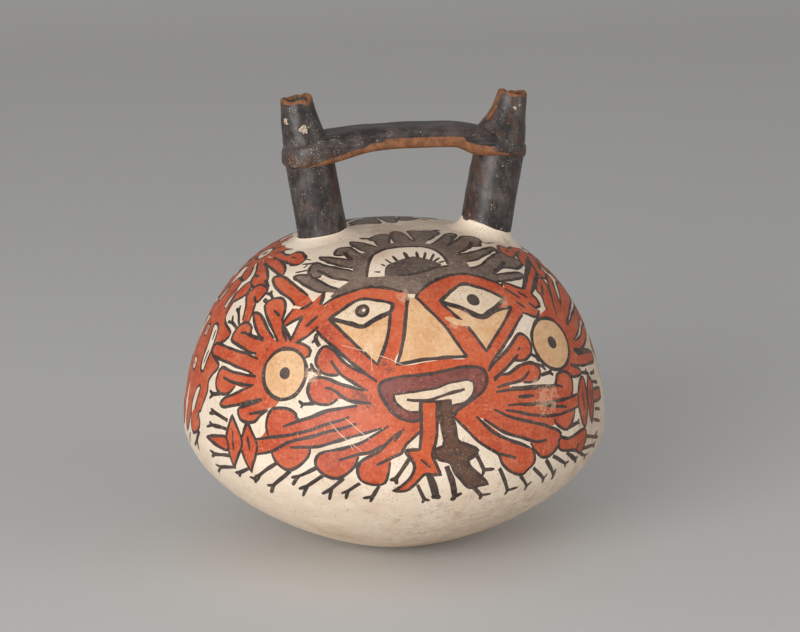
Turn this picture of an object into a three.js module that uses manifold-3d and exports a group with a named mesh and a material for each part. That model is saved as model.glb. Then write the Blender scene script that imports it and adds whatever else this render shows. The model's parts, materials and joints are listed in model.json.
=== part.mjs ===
// Double spout and bridge vessel in painted earthenware, in millimetres, +Z up.
// The origin is the middle of the worn flat that it stands on. The spouts stand along X and the front faces -Y.
// The potter's pieces are kept apart: a bowl, the dome that closes it, two spouts of a tube and a tip each,
// the roll of clay round each spout's root, the strap that bridges the spouts and the wrap round each of its ends.
import * as THREE from "three";
import { mergeVertices } from "three/addons/utils/BufferGeometryUtils.js";
import Module from "manifold-3d";

// Body. Its outline is a quarter superellipse below the widest line and another above it. A higher exponent
// makes a fuller curve.
const bodyRadius = 83;
const bowlDepth = 51.6; // from the widest line to the point where the bowl's curve would meet the axis
const bowlCurve = { acrossExponent: 1.45, upExponent: 1.77 };
const domeRise = 76;
const domeCurve = { acrossExponent: 3.09, upExponent: 1.78 };
const footRadius = 14; // the flat worn on the bottom
const wall = 5;

// Spouts. Each leans outwards, and its tip tapers and drifts further out.
const spoutSpacing = 64.6; // between the spouts' axes where they meet the dome
const spoutShift = 3.8; // how far the pair sits towards +X from the body's axis
const spoutLean = THREE.MathUtils.degToRad(10);
const tubeLength = 33.2; // along the axis, from the dome to the tip
const tubeRootRadius = 10.1;
const tubeTopRadius = 9.4;
const boreRadius = 5.6;
const tipLength = 22;
const tipMidShare = 0.72; // how far up the tip its taper quickens
const tipMidRadius = 7.3;
const leftMouth = { radius: 5.9, bore: 4.1, drift: 1.2 };
const rightMouth = { radius: 5.3, bore: 3.7, drift: 2.1 };

// The roll of clay at each root
const rollReach = 6.5; // outwards from the tube
const rollHeight = 4.5; // up the tube
const rollLip = 0.7; // its thickness at the top edge
const rollSkirt = 0.4; // its thickness where it thins out on the dome

// The wrap of clay round each spout at the bridge's ends
const wrapThickness = 1.2;
const wrapHeight = 9.5;
const wrapDrop = 1.6; // how far it reaches below the top of the tube

// The bridge, a strap arched between the spouts
const strapWidth = 19.5;
const strapThickness = 6.4; // at its middle
const strapRise = 4.2; // from the tops of the tubes to the middle of the underside
const undersideArch = 6; // rise of the arch between the spouts' axes
const topsideArch = 3.6;
const strapEdgeRound = 1.8;

const seam = 0.3; // the joint left between pieces that were luted together
const bodySides = 48;
const spoutSides = 28;
const curveSteps = 12;

const slipColours = { cream: 0xd9c3a3, black: 0x2e2826, clay: 0xb5613a };

const wasm = await Module();
wasm.setup();

// A closed geometry as a solid
function solidOf(geometry) {
  const bare = geometry.index ? geometry.toNonIndexed() : geometry.clone();
  bare.deleteAttribute("normal");
  bare.deleteAttribute("uv");
  const merged = mergeVertices(bare, 1e-3);
  return new wasm.Manifold(
    new wasm.Mesh({
      numProp: 3,
      vertProperties: new Float32Array(merged.attributes.position.array),
      triVerts: new Uint32Array(merged.index.array),
    }),
  );
}

// A solid as a geometry that three.js can show
function geometryOf(solid) {
  const mesh = solid.getMesh();
  const geometry = new THREE.BufferGeometry();
  geometry.setAttribute("position", new THREE.BufferAttribute(mesh.vertProperties, mesh.numProp));
  geometry.setIndex(new THREE.BufferAttribute(mesh.triVerts, 1));
  const flat = geometry.toNonIndexed();
  flat.computeVertexNormals();
  return flat;
}

// A closed outline of [radius, height] pairs turned about +Z
function turned(outline, sides) {
  const points = outline.map(([radius, height]) => new THREE.Vector2(radius, height));
  return new THREE.LatheGeometry(points, sides).rotateX(Math.PI / 2);
}

// A point of a quarter superellipse: turn 0 is its widest point and a quarter turn its pole
function quarterPoint(reach, rise, curve, turn) {
  const radius = reach * Math.cos(turn) ** (2 / curve.acrossExponent);
  const height = rise * Math.sin(turn) ** (2 / curve.upExponent);
  return [radius, height];
}

// The turn at which a quarter superellipse has narrowed to a radius
function turnAt(radius, reach, curve) {
  return Math.acos((radius / reach) ** (curve.acrossExponent / 2));
}

// Points of a quarter superellipse from its widest point to a turn. The pole itself is put exactly on the axis.
function quarterOutline(reach, rise, curve, lastTurn = Math.PI / 2) {
  const steps = Array.from({ length: curveSteps + 1 }, (_, step) => (lastTurn * step) / curveSteps);
  const points = steps.map((turn) => quarterPoint(reach, rise, curve, turn));
  if (lastTurn === Math.PI / 2) {
    points[curveSteps] = [0, rise];
  }
  return points;
}

const footTurn = turnAt(footRadius, bodyRadius, bowlCurve);
const widestHeight = quarterPoint(bodyRadius, bowlDepth, bowlCurve, footTurn)[1];

function domeHeight(radius) {
  const turn = turnAt(radius, bodyRadius, domeCurve);
  return widestHeight + quarterPoint(bodyRadius, domeRise, domeCurve, turn)[1];
}

function lowerBowl() {
  const outside = quarterOutline(bodyRadius, bowlDepth, bowlCurve, footTurn);
  const inside = quarterOutline(bodyRadius - wall, widestHeight - wall, bowlCurve);
  const below = ([radius, depth]) => [radius, widestHeight - depth];
  const outline = [[0, 0], ...outside.map(below).reverse(), ...inside.map(below)];
  return turned(outline, bodySides);
}

// The dome's outside filled in, grown by a margin
function domeFilled(margin) {
  const outside = quarterOutline(bodyRadius + margin, domeRise + margin, domeCurve);
  const above = outside.map(([radius, height]) => [radius, widestHeight + height]);
  return solidOf(turned([[0, widestHeight], ...above], bodySides));
}

function upperDome() {
  const outside = quarterOutline(bodyRadius, domeRise, domeCurve);
  const inside = quarterOutline(bodyRadius - wall, domeRise - wall, domeCurve);
  const above = ([radius, height]) => [radius, widestHeight + height];
  const outline = [...outside.map(above), ...inside.map(above).reverse()];
  outline.push(outline[0]);
  let dome = solidOf(turned(outline, bodySides));
  for (const spout of [leftSpout, rightSpout]) {
    const hole = [[0, -3 * wall], [boreRadius, -3 * wall], [boreRadius, 3 * wall], [0, 3 * wall]];
    dome = dome.subtract(inPlace(turned(hole, spoutSides), spout));
  }
  return geometryOf(dome);
}

// A spout's own frame has its origin on the dome and +Z up its axis
function spoutFrame(side, mouth) {
  const reach = (side * spoutSpacing) / 2 + spoutShift;
  return {
    mouth,
    side,
    placing: new THREE.Matrix4()
      .makeTranslation(reach, 0, domeHeight(Math.abs(reach)))
      .multiply(new THREE.Matrix4().makeRotationY(side * spoutLean)),
  };
}

const leftSpout = spoutFrame(-1, leftMouth);
const rightSpout = spoutFrame(1, rightMouth);

function inPlace(geometry, spout) {
  return solidOf(geometry.applyMatrix4(spout.placing));
}

// The tip's taper drifts outwards as it rises
function drifted(geometry, spout) {
  const perHeight = (spout.side * spout.mouth.drift) / tipLength;
  const shear = new THREE.Matrix4().makeShear(0, 0, 0, 0, perHeight, 0);
  geometry.translate(0, 0, -tubeLength);
  geometry.applyMatrix4(shear);
  return geometry.translate(0, 0, tubeLength);
}

function tubeOutline(margin) {
  const foot = -2 * wall;
  return [
    [0, foot],
    [tubeRootRadius + margin, foot],
    [tubeRootRadius + margin, 0],
    [tubeTopRadius + margin, tubeLength + margin],
    [0, tubeLength + margin],
  ];
}

function tipOutline(mouth, margin) {
  return [
    [0, tubeLength + seam - 2 * margin],
    [tubeTopRadius + margin, tubeLength + seam - 2 * margin],
    [tipMidRadius + margin, tubeLength + tipMidShare * tipLength],
    [mouth.radius + margin, tubeLength + tipLength + margin],
    [0, tubeLength + tipLength + margin],
  ];
}

// A whole spout filled in, grown by a margin: what its neighbours are cut back by
function spoutFilled(spout, margin) {
  const tube = turned(tubeOutline(margin), spoutSides);
  const tip = drifted(turned(tipOutline(spout.mouth, margin), spoutSides), spout);
  return inPlace(tube, spout).add(inPlace(tip, spout));
}

function spoutTube(spout) {
  const bore = [[0, -3 * wall], [boreRadius, -3 * wall], [boreRadius, 2 * tubeLength], [0, 2 * tubeLength]];
  const tube = inPlace(turned(tubeOutline(0), spoutSides), spout);
  return geometryOf(tube.subtract(inPlace(turned(bore, spoutSides), spout)).subtract(domeFilled(seam)));
}

function spoutTip(spout) {
  const { mouth } = spout;
  const bore = [
    [0, tubeLength - wall],
    [boreRadius, tubeLength - wall],
    [boreRadius, tubeLength + seam],
    [mouth.bore, tubeLength + tipMidShare * tipLength],
    [mouth.bore, tubeLength + 2 * tipLength],
    [0, tubeLength + 2 * tipLength],
  ];
  const outside = inPlace(drifted(turned(tipOutline(mouth, 0), spoutSides), spout), spout);
  return geometryOf(outside.subtract(inPlace(drifted(turned(bore, spoutSides), spout), spout)));
}

// How far up a spout's axis the dome lies from a point of its own frame
function domeAbove(point, spout) {
  const onDome = point.clone();
  for (let pass = 0; pass < 6; pass += 1) {
    const world = onDome.clone().applyMatrix4(spout.placing);
    onDome.z += (domeHeight(Math.hypot(world.x, world.y)) - world.z) / Math.cos(spoutLean);
  }
  return onDome.z - point.z;
}

// A turned ring laid on the dome: each of its points rises or sinks with the dome below it
function draped(geometry, spout) {
  const places = geometry.attributes.position;
  for (let index = 0; index < places.count; index += 1) {
    const level = new THREE.Vector3(places.getX(index), places.getY(index), 0);
    places.setZ(index, places.getZ(index) + domeAbove(level, spout));
  }
  return geometry;
}

// The roll's face is a hollow quarter ellipse from the tube down to the dome
function rootRoll(spout) {
  const inner = tubeRootRadius + seam;
  const outer = tubeRootRadius + rollReach;
  const steps = 8;
  const face = Array.from({ length: steps + 1 }, (_, step) => {
    const turn = ((Math.PI / 2) * step) / steps;
    const radius = outer - (outer - inner - rollLip) * Math.sin(turn);
    return [radius, rollSkirt + seam + (rollHeight - rollSkirt) * (1 - Math.cos(turn))];
  });
  const outline = [[inner, seam], [outer, seam], ...face, [inner, rollHeight + seam], [inner, seam]];
  return geometryOf(inPlace(draped(turned(outline, spoutSides), spout), spout));
}

// The wrap's outside filled in, grown by a margin
function wrapFilled(spout, margin) {
  const low = tubeLength - wrapDrop;
  const high = low + wrapHeight;
  const radius = tubeTopRadius + wrapThickness;
  const outline = [
    [0, low - margin],
    [radius - wrapThickness / 2 + margin, low - margin],
    [radius + margin, low + wrapThickness],
    [radius + margin, high - 2 * wrapThickness],
    [radius - wrapThickness + margin, high + margin],
    [0, high + margin],
  ];
  return inPlace(turned(outline, spoutSides), spout);
}

function bridgeWrap(spout) {
  return geometryOf(wrapFilled(spout, 0).subtract(spoutFilled(spout, seam)));
}

// Where a spout's axis passes the top of its tube
function tubeTop(spout) {
  return new THREE.Vector3(0, 0, tubeLength).applyMatrix4(spout.placing);
}

// Points of a circle's arc that rises by `rise` above its ends at x = -half and +half
function arcPoints(half, rise, endHeight, steps) {
  const radius = (half ** 2 + rise ** 2) / (2 * rise);
  const centre = endHeight + rise - radius;
  return Array.from({ length: steps + 1 }, (_, step) => {
    const x = half * ((2 * step) / steps - 1);
    return new THREE.Vector2(x, centre + Math.sqrt(radius ** 2 - x ** 2));
  });
}

function bridgeStrap() {
  const left = tubeTop(leftSpout);
  const right = tubeTop(rightSpout);
  const half = (right.x - left.x) / 2;
  const undersideMiddle = (left.z + right.z) / 2 + strapRise;
  const topsideMiddle = undersideMiddle + strapThickness;
  const underside = arcPoints(half, undersideArch, undersideMiddle - undersideArch, 16);
  const topside = arcPoints(half, topsideArch, topsideMiddle - topsideArch, 16).reverse();
  const round = { bevelThickness: strapEdgeRound, bevelSize: strapEdgeRound, bevelOffset: -strapEdgeRound };
  const depth = strapWidth - 2 * strapEdgeRound;
  const strap = new THREE.ExtrudeGeometry(new THREE.Shape([...underside, ...topside]), {
    depth,
    steps: 1,
    bevelEnabled: true,
    bevelSegments: 3,
    ...round,
  });
  strap.translate(0, 0, -depth / 2);
  strap.rotateX(Math.PI / 2);
  strap.translate((left.x + right.x) / 2, 0, 0);
  const wraps = wrapFilled(leftSpout, seam).add(wrapFilled(rightSpout, seam));
  const spouts = spoutFilled(leftSpout, seam).add(spoutFilled(rightSpout, seam));
  const cut = solidOf(strap).subtract(wraps).subtract(spouts);
  const pieces = cut.decompose().sort((a, b) => b.volume() - a.volume());
  return geometryOf(pieces[0]);
}

function piece(name, geometry, colour, roughness) {
  const material = new THREE.MeshStandardMaterial({ color: slipColours[colour], roughness, metalness: 0 });
  const mesh = new THREE.Mesh(geometry, material);
  mesh.name = name;
  return mesh;
}

const vessel = new THREE.Group();
vessel.add(piece("lower_bowl", lowerBowl(), "cream", 0.55));
vessel.add(piece("upper_dome", upperDome(), "cream", 0.5));
for (const [name, spout] of [["left", leftSpout], ["right", rightSpout]]) {
  vessel.add(piece(`${name}_spout_tube`, spoutTube(spout), "black", 0.45));
  vessel.add(piece(`${name}_spout_tip`, spoutTip(spout), "black", 0.45));
  vessel.add(piece(`${name}_root_roll`, rootRoll(spout), "cream", 0.6));
  vessel.add(piece(`${name}_bridge_wrap`, bridgeWrap(spout), "black", 0.5));
}
vessel.add(piece("bridge_strap", bridgeStrap(), "clay", 0.6));

export default vessel;
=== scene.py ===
# Double spout and bridge bottle: a painted earthenware body, two leaning spouts and the strap between them.
# Lengths are in millimetres until a mesh is finished. The painted front faces -Y and the spouts stand along X.
import bpy
import json
from bisect import bisect_right
from math import acos, atan2, cos, degrees, exp, hypot, pi, radians, sin, sqrt
from mathutils import Euler, Matrix, Vector, noise
from mathutils.geometry import delaunay_2d_cdt

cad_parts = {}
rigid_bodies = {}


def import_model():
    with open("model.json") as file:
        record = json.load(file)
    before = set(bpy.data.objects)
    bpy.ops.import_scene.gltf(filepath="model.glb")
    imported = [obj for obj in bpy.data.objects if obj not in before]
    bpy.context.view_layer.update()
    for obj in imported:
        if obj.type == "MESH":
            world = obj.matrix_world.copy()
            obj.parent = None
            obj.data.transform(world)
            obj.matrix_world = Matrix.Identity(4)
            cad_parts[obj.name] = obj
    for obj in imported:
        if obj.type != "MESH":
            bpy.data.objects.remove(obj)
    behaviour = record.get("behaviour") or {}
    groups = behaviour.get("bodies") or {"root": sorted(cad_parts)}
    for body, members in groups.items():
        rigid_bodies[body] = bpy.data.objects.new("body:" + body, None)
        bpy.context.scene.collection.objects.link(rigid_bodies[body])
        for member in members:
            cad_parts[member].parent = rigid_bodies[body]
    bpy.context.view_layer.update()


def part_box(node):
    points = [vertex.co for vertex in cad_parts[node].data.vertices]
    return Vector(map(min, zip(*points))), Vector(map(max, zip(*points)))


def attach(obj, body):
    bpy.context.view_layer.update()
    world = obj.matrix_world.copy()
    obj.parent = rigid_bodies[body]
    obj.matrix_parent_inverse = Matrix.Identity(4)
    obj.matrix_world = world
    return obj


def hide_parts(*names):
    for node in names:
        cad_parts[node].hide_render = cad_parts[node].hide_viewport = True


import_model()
mm = 0.001
print("frame loaded")


# Camera: where it stood for the photograph
camera = {
    "azimuth": -12,
    "elevation": 15,
    "distance": 1200,  # from the point it turns about
    "target": (0, 0, 57.7),
    "lens": 137.2,
    "aimUp": 1.49,  # degrees above the target, and to its right
    "aimRight": 0.115,
}


def placeCamera():
    azimuth, elevation = radians(camera["azimuth"]), radians(camera["elevation"])
    away = Vector((sin(azimuth) * cos(elevation), -cos(azimuth) * cos(elevation), sin(elevation)))
    data = bpy.data.cameras.new("studioCamera")
    data.lens = camera["lens"]
    data.sensor_width = 36
    data.clip_start = 0.05
    rig = bpy.data.objects.new("studioCamera", data)
    rig.location = (Vector(camera["target"]) + camera["distance"] * away) * mm
    pitch = radians(90 - camera["elevation"] + camera["aimUp"])
    rig.rotation_euler = Euler((pitch, 0, azimuth - radians(camera["aimRight"])))
    bpy.context.collection.objects.link(rig)
    bpy.context.scene.camera = rig


# Shader maths: a wire is a node's output that takes plain arithmetic
class Wire:
    def __init__(self, finish, socket):
        self.finish = finish
        self.socket = socket

    def maths(self, operation, *others):
        values = dict(enumerate([self, *others]))
        return self.finish.node("ShaderNodeMath", {"operation": operation}, values)

    def __add__(self, other):
        return self.maths("ADD", other)

    __radd__ = __add__

    def __sub__(self, other):
        return self.maths("SUBTRACT", other)

    def __rsub__(self, other):
        return self.finish.node("ShaderNodeMath", {"operation": "SUBTRACT"}, {0: other, 1: self})

    def __mul__(self, other):
        return self.maths("MULTIPLY", other)

    __rmul__ = __mul__

    def highest(self, other):
        return self.maths("MAXIMUM", other)

    def lowest(self, other):
        return self.maths("MINIMUM", other)

    # 0 below low, 1 above high and a soft step between them
    def rise(self, low, high):
        settings = {"interpolation_type": "SMOOTHSTEP"}
        return self.finish.node("ShaderNodeMapRange", settings, {"Value": self, "From Min": low, "From Max": high})


class Finish:
    def __init__(self, name):
        self.material = bpy.data.materials.new(name)
        self.material.use_nodes = True
        self.tree = self.material.node_tree
        self.tree.nodes.clear()
        self.place = self.node("ShaderNodeTexCoord", {}, {}, "Object")

    def node(self, kind, settings, values, output=0):
        made = self.tree.nodes.new(kind)
        for key, value in settings.items():
            setattr(made, key, value)
        for key, value in values.items():
            if isinstance(value, Wire):
                self.tree.links.new(value.socket, made.inputs[key])
            else:
                made.inputs[key].default_value = value
        return Wire(self, made.outputs[output])

    # Cloudy noise with features of about a size in millimetres
    def cloud(self, size, detail=4, roughness=0.55, seed=0, stretch=(1, 1, 1)):
        scale = tuple(1 / part for part in stretch)
        moved = self.node("ShaderNodeMapping", {}, {"Vector": self.place, "Location": (seed, 0, 0),
                                                    "Scale": scale})
        values = {"Vector": moved, "Scale": 1 / (size * mm), "Detail": detail, "Roughness": roughness}
        return self.node("ShaderNodeTexNoise", {}, values, "Fac")

    # Round specks: 1 at a speck's middle and 0 away from it
    def specks(self, spacing, radius, seed=0):
        moved = self.node("ShaderNodeMapping", {}, {"Vector": self.place, "Location": (seed, 0, 0)})
        values = {"Vector": moved, "Scale": 1 / (spacing * mm), "Randomness": 1.0}
        distance = self.node("ShaderNodeTexVoronoi", {}, values, "Distance")
        return 1 - distance.rise(0.4 * radius / spacing, radius / spacing)

    # 1 near each place of the body's chart and 0 beyond its radius, with a ragged edge
    def marked(self, spots):
        share = 0
        ragged = self.cloud(4, detail=6, roughness=0.7, seed=51) - 0.5
        for turn, up, radius in spots:
            centre = tuple(surfacePoint(outside, *spot(turn, up)) * mm)
            apart = self.node("ShaderNodeVectorMath", {"operation": "DISTANCE"}, {0: self.place, 1: centre}, "Value")
            apart = apart + ragged * (3.5 * radius * mm)
            share = (1 - apart.rise(0.25 * radius * mm, radius * mm)).highest(share)
        return share

    def mix(self, share, first, second):
        values = {0: share, 6: asColour(first), 7: asColour(second)}
        return self.node("ShaderNodeMix", {"data_type": "RGBA"}, values, 2)

    # A relief is its height, its strength and its depth in millimetres
    def finished(self, colour, roughness, relief=None):
        values = {"Base Color": asColour(colour), "Roughness": roughness}
        if relief:
            height, strength, depth = relief
            bump = {"Height": height, "Strength": strength, "Distance": depth * mm}
            values["Normal"] = self.node("ShaderNodeBump", {}, bump, "Normal")
        shader = self.node("ShaderNodeBsdfPrincipled", {}, values, "BSDF")
        target = self.tree.nodes.new("ShaderNodeOutputMaterial")
        self.tree.links.new(shader.socket, target.inputs["Surface"])
        return self.material


def asColour(value):
    return value if isinstance(value, Wire) else (*value, 1)


# A colour as it is picked on screen, 0 to 255, in Blender's linear light
def screen(red, green, blue):
    parts = [channel / 255 for channel in (red, green, blue)]
    return tuple(part / 12.92 if part <= 0.04045 else ((part + 0.055) / 1.055) ** 2.4 for part in parts)


# Slips on the body. Each has its colour, a lighter one for where it lies thin, a darker one for stains, and one
# for the flecks where it has flaked. Mottle is how strongly it varies over a millimetre or two,
# and warmth how far it turns orange where the fire caught it.
slips = {
    "cream": {"colour": screen(233, 212, 187), "thin": screen(242, 226, 205), "stain": screen(194, 156, 124),
              "fleck": screen(140, 104, 78), "mottle": 0.2, "warmth": 0.03},
    "ivory": {"colour": screen(222, 196, 164), "thin": screen(236, 216, 190), "stain": screen(196, 160, 126),
              "fleck": screen(156, 116, 88), "mottle": 0.5, "warmth": 0.04},
    "red": {"colour": screen(186, 68, 27), "thin": screen(208, 108, 72), "stain": screen(138, 46, 24),
            "fleck": screen(222, 160, 128), "mottle": 0.7, "warmth": 0.6},
    "buff": {"colour": screen(214, 164, 115), "thin": screen(230, 190, 146), "stain": screen(184, 126, 80),
             "fleck": screen(240, 216, 184), "mottle": 0.6, "warmth": 0.08},
    "maroon": {"colour": screen(104, 50, 46), "thin": screen(140, 82, 74), "stain": screen(70, 34, 34),
               "fleck": screen(190, 146, 130), "mottle": 0.7, "warmth": 0.1},
    "umber": {"colour": screen(104, 84, 72), "thin": screen(142, 122, 108), "stain": screen(74, 58, 49),
              "fleck": screen(196, 172, 150), "mottle": 0.7, "warmth": 0.05},
    "soot": {"colour": screen(78, 64, 56), "thin": screen(112, 96, 86), "stain": screen(52, 42, 38),
             "fleck": screen(176, 158, 142), "mottle": 0.9, "warmth": 0.04},
    "brown": {"colour": screen(78, 52, 40), "thin": screen(106, 78, 62), "stain": screen(54, 38, 31),
              "fleck": screen(176, 150, 130), "mottle": 0.6, "warmth": 0.05},
    "black": {"colour": screen(46, 35, 32), "thin": screen(92, 76, 68), "stain": screen(34, 25, 22),
              "fleck": screen(178, 138, 112), "mottle": 0.7, "warmth": 0.04},
}

# Where the painting is rubbed pale, browned or sooty: degrees round the body, millimetres up its side, and a radius
wear = {
    "pale": ((13, 57, 4), (8, 56, 3), (-36, 36, 4), (-8, 69, 4), (34, 22, 8), (30, 62, 3), (-20, 47, 3)),
    # brown: stains, and painted shade low on the belly and on the right side; one more browns the top
    "brown": ((24, -48, 42), (60, 4, 28), (72, 30, 28), (0, 125, 15), (66, 82, 10)),
    "soot": ((-21, 28, 6), (-14, 40, 3), (34, 2, 3)),
    "warm": ((-6, 20, 30), (22, 34, 26), (-2, 46, 16)),
}

# Colours that the wear and the fire leave on any slip. The brown also paints shade where the light falls off.
marks = {
    "warm": screen(204, 88, 34),
    "bared": screen(222, 180, 146),
    "speck": screen(92, 66, 48),
    "brown": screen(140, 92, 56),
    "soot": screen(62, 50, 44),
}


def slipFinish(name):
    slip = slips[name]
    finish = Finish(f"{name}Slip")
    clouds = finish.cloud(9, detail=5)
    grain = finish.cloud(0.7, detail=3, seed=3)
    brushed = finish.cloud(2.4, detail=4, seed=7, stretch=(3, 3, 1))
    stains = finish.cloud(26, detail=3, seed=11)
    ragged = finish.cloud(2.2, detail=6, roughness=0.7, seed=17)
    rubbed = finish.marked(wear["pale"])
    colour = finish.mix((clouds * 0.6 + brushed * 0.4).rise(0.38, 0.66) * 0.8, slip["colour"], slip["thin"])
    colour = finish.mix(finish.marked(wear["warm"]) * slip["warmth"], colour, marks["warm"])
    colour = finish.mix(stains.rise(0.5, 0.75) * 0.5, colour, slip["stain"])
    colour = finish.mix((ragged + rubbed * 0.22).rise(0.58, 0.68) * 0.85, colour, slip["thin"])
    mottle = finish.cloud(1.5, detail=6, roughness=0.75, seed=43)
    colour = finish.mix(mottle.rise(0.5, 0.66) * slip["mottle"], colour, slip["thin"])
    colour = finish.mix((1 - mottle).rise(0.52, 0.68) * slip["mottle"], colour, slip["stain"])
    fine = finish.cloud(1, detail=6, roughness=0.8, seed=47)
    bared = (fine + rubbed * 0.16).rise(0.52, 0.68) * rubbed.rise(0.05, 0.6)
    colour = finish.mix(bared * 0.52, colour, marks["bared"])
    # flecks in clusters, more of them where the slip is rubbed
    cluster = finish.cloud(7, detail=4, seed=23).rise(0.42, 0.62) + rubbed * 0.6
    flecks = finish.cloud(0.8, detail=4, roughness=0.65, seed=29).rise(0.58, 0.65) * cluster.lowest(1)
    colour = finish.mix(flecks * 0.75, colour, slip["fleck"])
    specks = finish.specks(2.1, 0.22, seed=2) * finish.cloud(5, seed=5).rise(0.5, 0.6)
    colour = finish.mix(specks * 0.6, colour, marks["speck"])
    # long thin scratches that run down the side
    scratches = finish.cloud(0.7, detail=2, seed=37, stretch=(1, 1, 16)).rise(0.67, 0.7)
    scratches = scratches * finish.cloud(12, detail=2, seed=41).rise(0.5, 0.6)
    colour = finish.mix(scratches * 0.6, colour, slip["fleck"])
    # browned by stains, and painted shade low on the belly and on the right side
    stainedAndShaded = finish.marked(wear["brown"]) * (0.7 + ragged.rise(0.4, 0.62) * 0.3)
    colour = finish.mix(stainedAndShaded * 0.34, colour, marks["brown"])
    sooted = finish.marked(wear["soot"]) * ragged.rise(0.42, 0.56)
    colour = finish.mix(sooted * 0.7, colour, marks["soot"])
    roughness = 0.36 + grain * 0.2 + clouds * 0.1 + flecks * 0.2
    height = grain * 0.4 + brushed * 0.6 - flecks * 0.5
    return finish.finished(colour, roughness, (height, 0.25, 0.15))


bareClay = {"dark": screen(150, 80, 44), "light": screen(196, 118, 74)}


def clayFinish():
    finish = Finish("bareClay")
    grain = finish.cloud(0.6, detail=5)
    clouds = finish.cloud(4, detail=3, seed=4)
    colour = finish.mix((grain * 0.5 + clouds * 0.5).rise(0.35, 0.65), bareClay["dark"], bareClay["light"])
    return finish.finished(colour, 0.75, (grain, 0.5, 0.25))


# Colours of the black slip and of what wears through it or lies on it
spoutSlip = {
    "dark": screen(34, 27, 25),
    "light": screen(88, 78, 73),
    "brown": screen(84, 50, 35),
    "scuff": screen(200, 188, 174),
    "line": screen(150, 140, 132),
    "dot": screen(196, 182, 168),
    "clay": (screen(112, 70, 44), screen(150, 98, 62)),
    "lime": (screen(140, 118, 98), screen(206, 188, 166)),
}


# Black slip of the spouts and strap. The "worn" layer bares the clay, "rubbed" browns it and "crust" leaves
# a pale deposit. The brush marks run along the piece.
def spoutFinish(name, along):
    finish = Finish(name)
    worn, rubbed, crust = (finish.node("ShaderNodeAttribute", {"attribute_name": layer}, {}, "Fac")
                           for layer in ("worn", "rubbed", "crust"))
    bloom = finish.cloud(9, detail=6, roughness=0.62)
    grain = finish.cloud(0.5, detail=4, seed=2)
    marks = finish.cloud(1.1, detail=4, seed=9, stretch=along)
    cloudy = bloom * 0.6 + grain * 0.2 + marks * 0.2
    colour = finish.mix(cloudy.rise(0.42, 0.64), spoutSlip["dark"], spoutSlip["light"])
    brown = (finish.cloud(5, detail=5, seed=21) + rubbed * 0.34).rise(0.56, 0.8)
    colour = finish.mix(brown * 0.7, colour, spoutSlip["brown"])
    scuffed = finish.cloud(5, detail=3, seed=5).rise(0.47, 0.56)
    scuffs = finish.cloud(0.75, detail=3, seed=12).rise(0.63, 0.7) * scuffed
    colour = finish.mix(scuffs * 0.75, colour, spoutSlip["scuff"])
    lines = finish.cloud(0.5, detail=2, seed=31, stretch=tuple(2 * part for part in along)).rise(0.62, 0.7)
    colour = finish.mix(lines * 0.2, colour, spoutSlip["line"])
    dots = finish.specks(1.6, 0.16, seed=8) * finish.cloud(7, detail=3, seed=15).rise(0.4, 0.55)
    colour = finish.mix(dots * 0.7, colour, spoutSlip["dot"])
    patches = finish.cloud(2.6, detail=4, seed=6)
    clay = finish.mix((grain * 0.4 + patches * 0.6).rise(0.4, 0.62), *spoutSlip["clay"])
    bared = (worn + (grain - 0.5) * 0.6).rise(0.42, 0.58)
    colour = finish.mix(bared, colour, clay)
    lime = finish.mix(grain.rise(0.4, 0.6), *spoutSlip["lime"])
    crusted = (crust + (grain - 0.5) * 0.8).rise(0.4, 0.6)
    colour = finish.mix(crusted, colour, lime)
    roughness = 0.3 + grain * 0.2 + marks * 0.1 + bared * 0.3 + crusted * 0.3
    height = grain * 0.35 + marks * 0.4 + crusted * 1.2 - bared * 0.5
    return finish.finished(colour, roughness, (height, 0.35, 0.25))


# Body. Its side is a quarter superellipse above the widest line and another below it, with a flat worn under it.
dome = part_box("upper_dome")
body = {
    "radius": dome[1][0] / mm,
    "widest": dome[0][2] / mm,
    "domeRise": (dome[1][2] - dome[0][2]) / mm,
    "domeCurve": (3.09, 1.78),  # exponents across and up
    "bowlDepth": 51.6,  # to the point where the bowl's curve would meet the axis
    "bowlCurve": (1.45, 1.77),
    "foot": 14,
    "wall": 5,
    "waver": 0.3,  # how far the hand-shaped wall dips in places, and over what length
    "waverLength": 38,
    "rowSpacing": 4,  # of the points between the painted shapes
    "columnSpacing": 4.4,
}


def quarterPoint(reach, rise, curve, turn):
    return reach * cos(turn) ** (2 / curve[0]), rise * sin(turn) ** (2 / curve[1])


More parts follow.
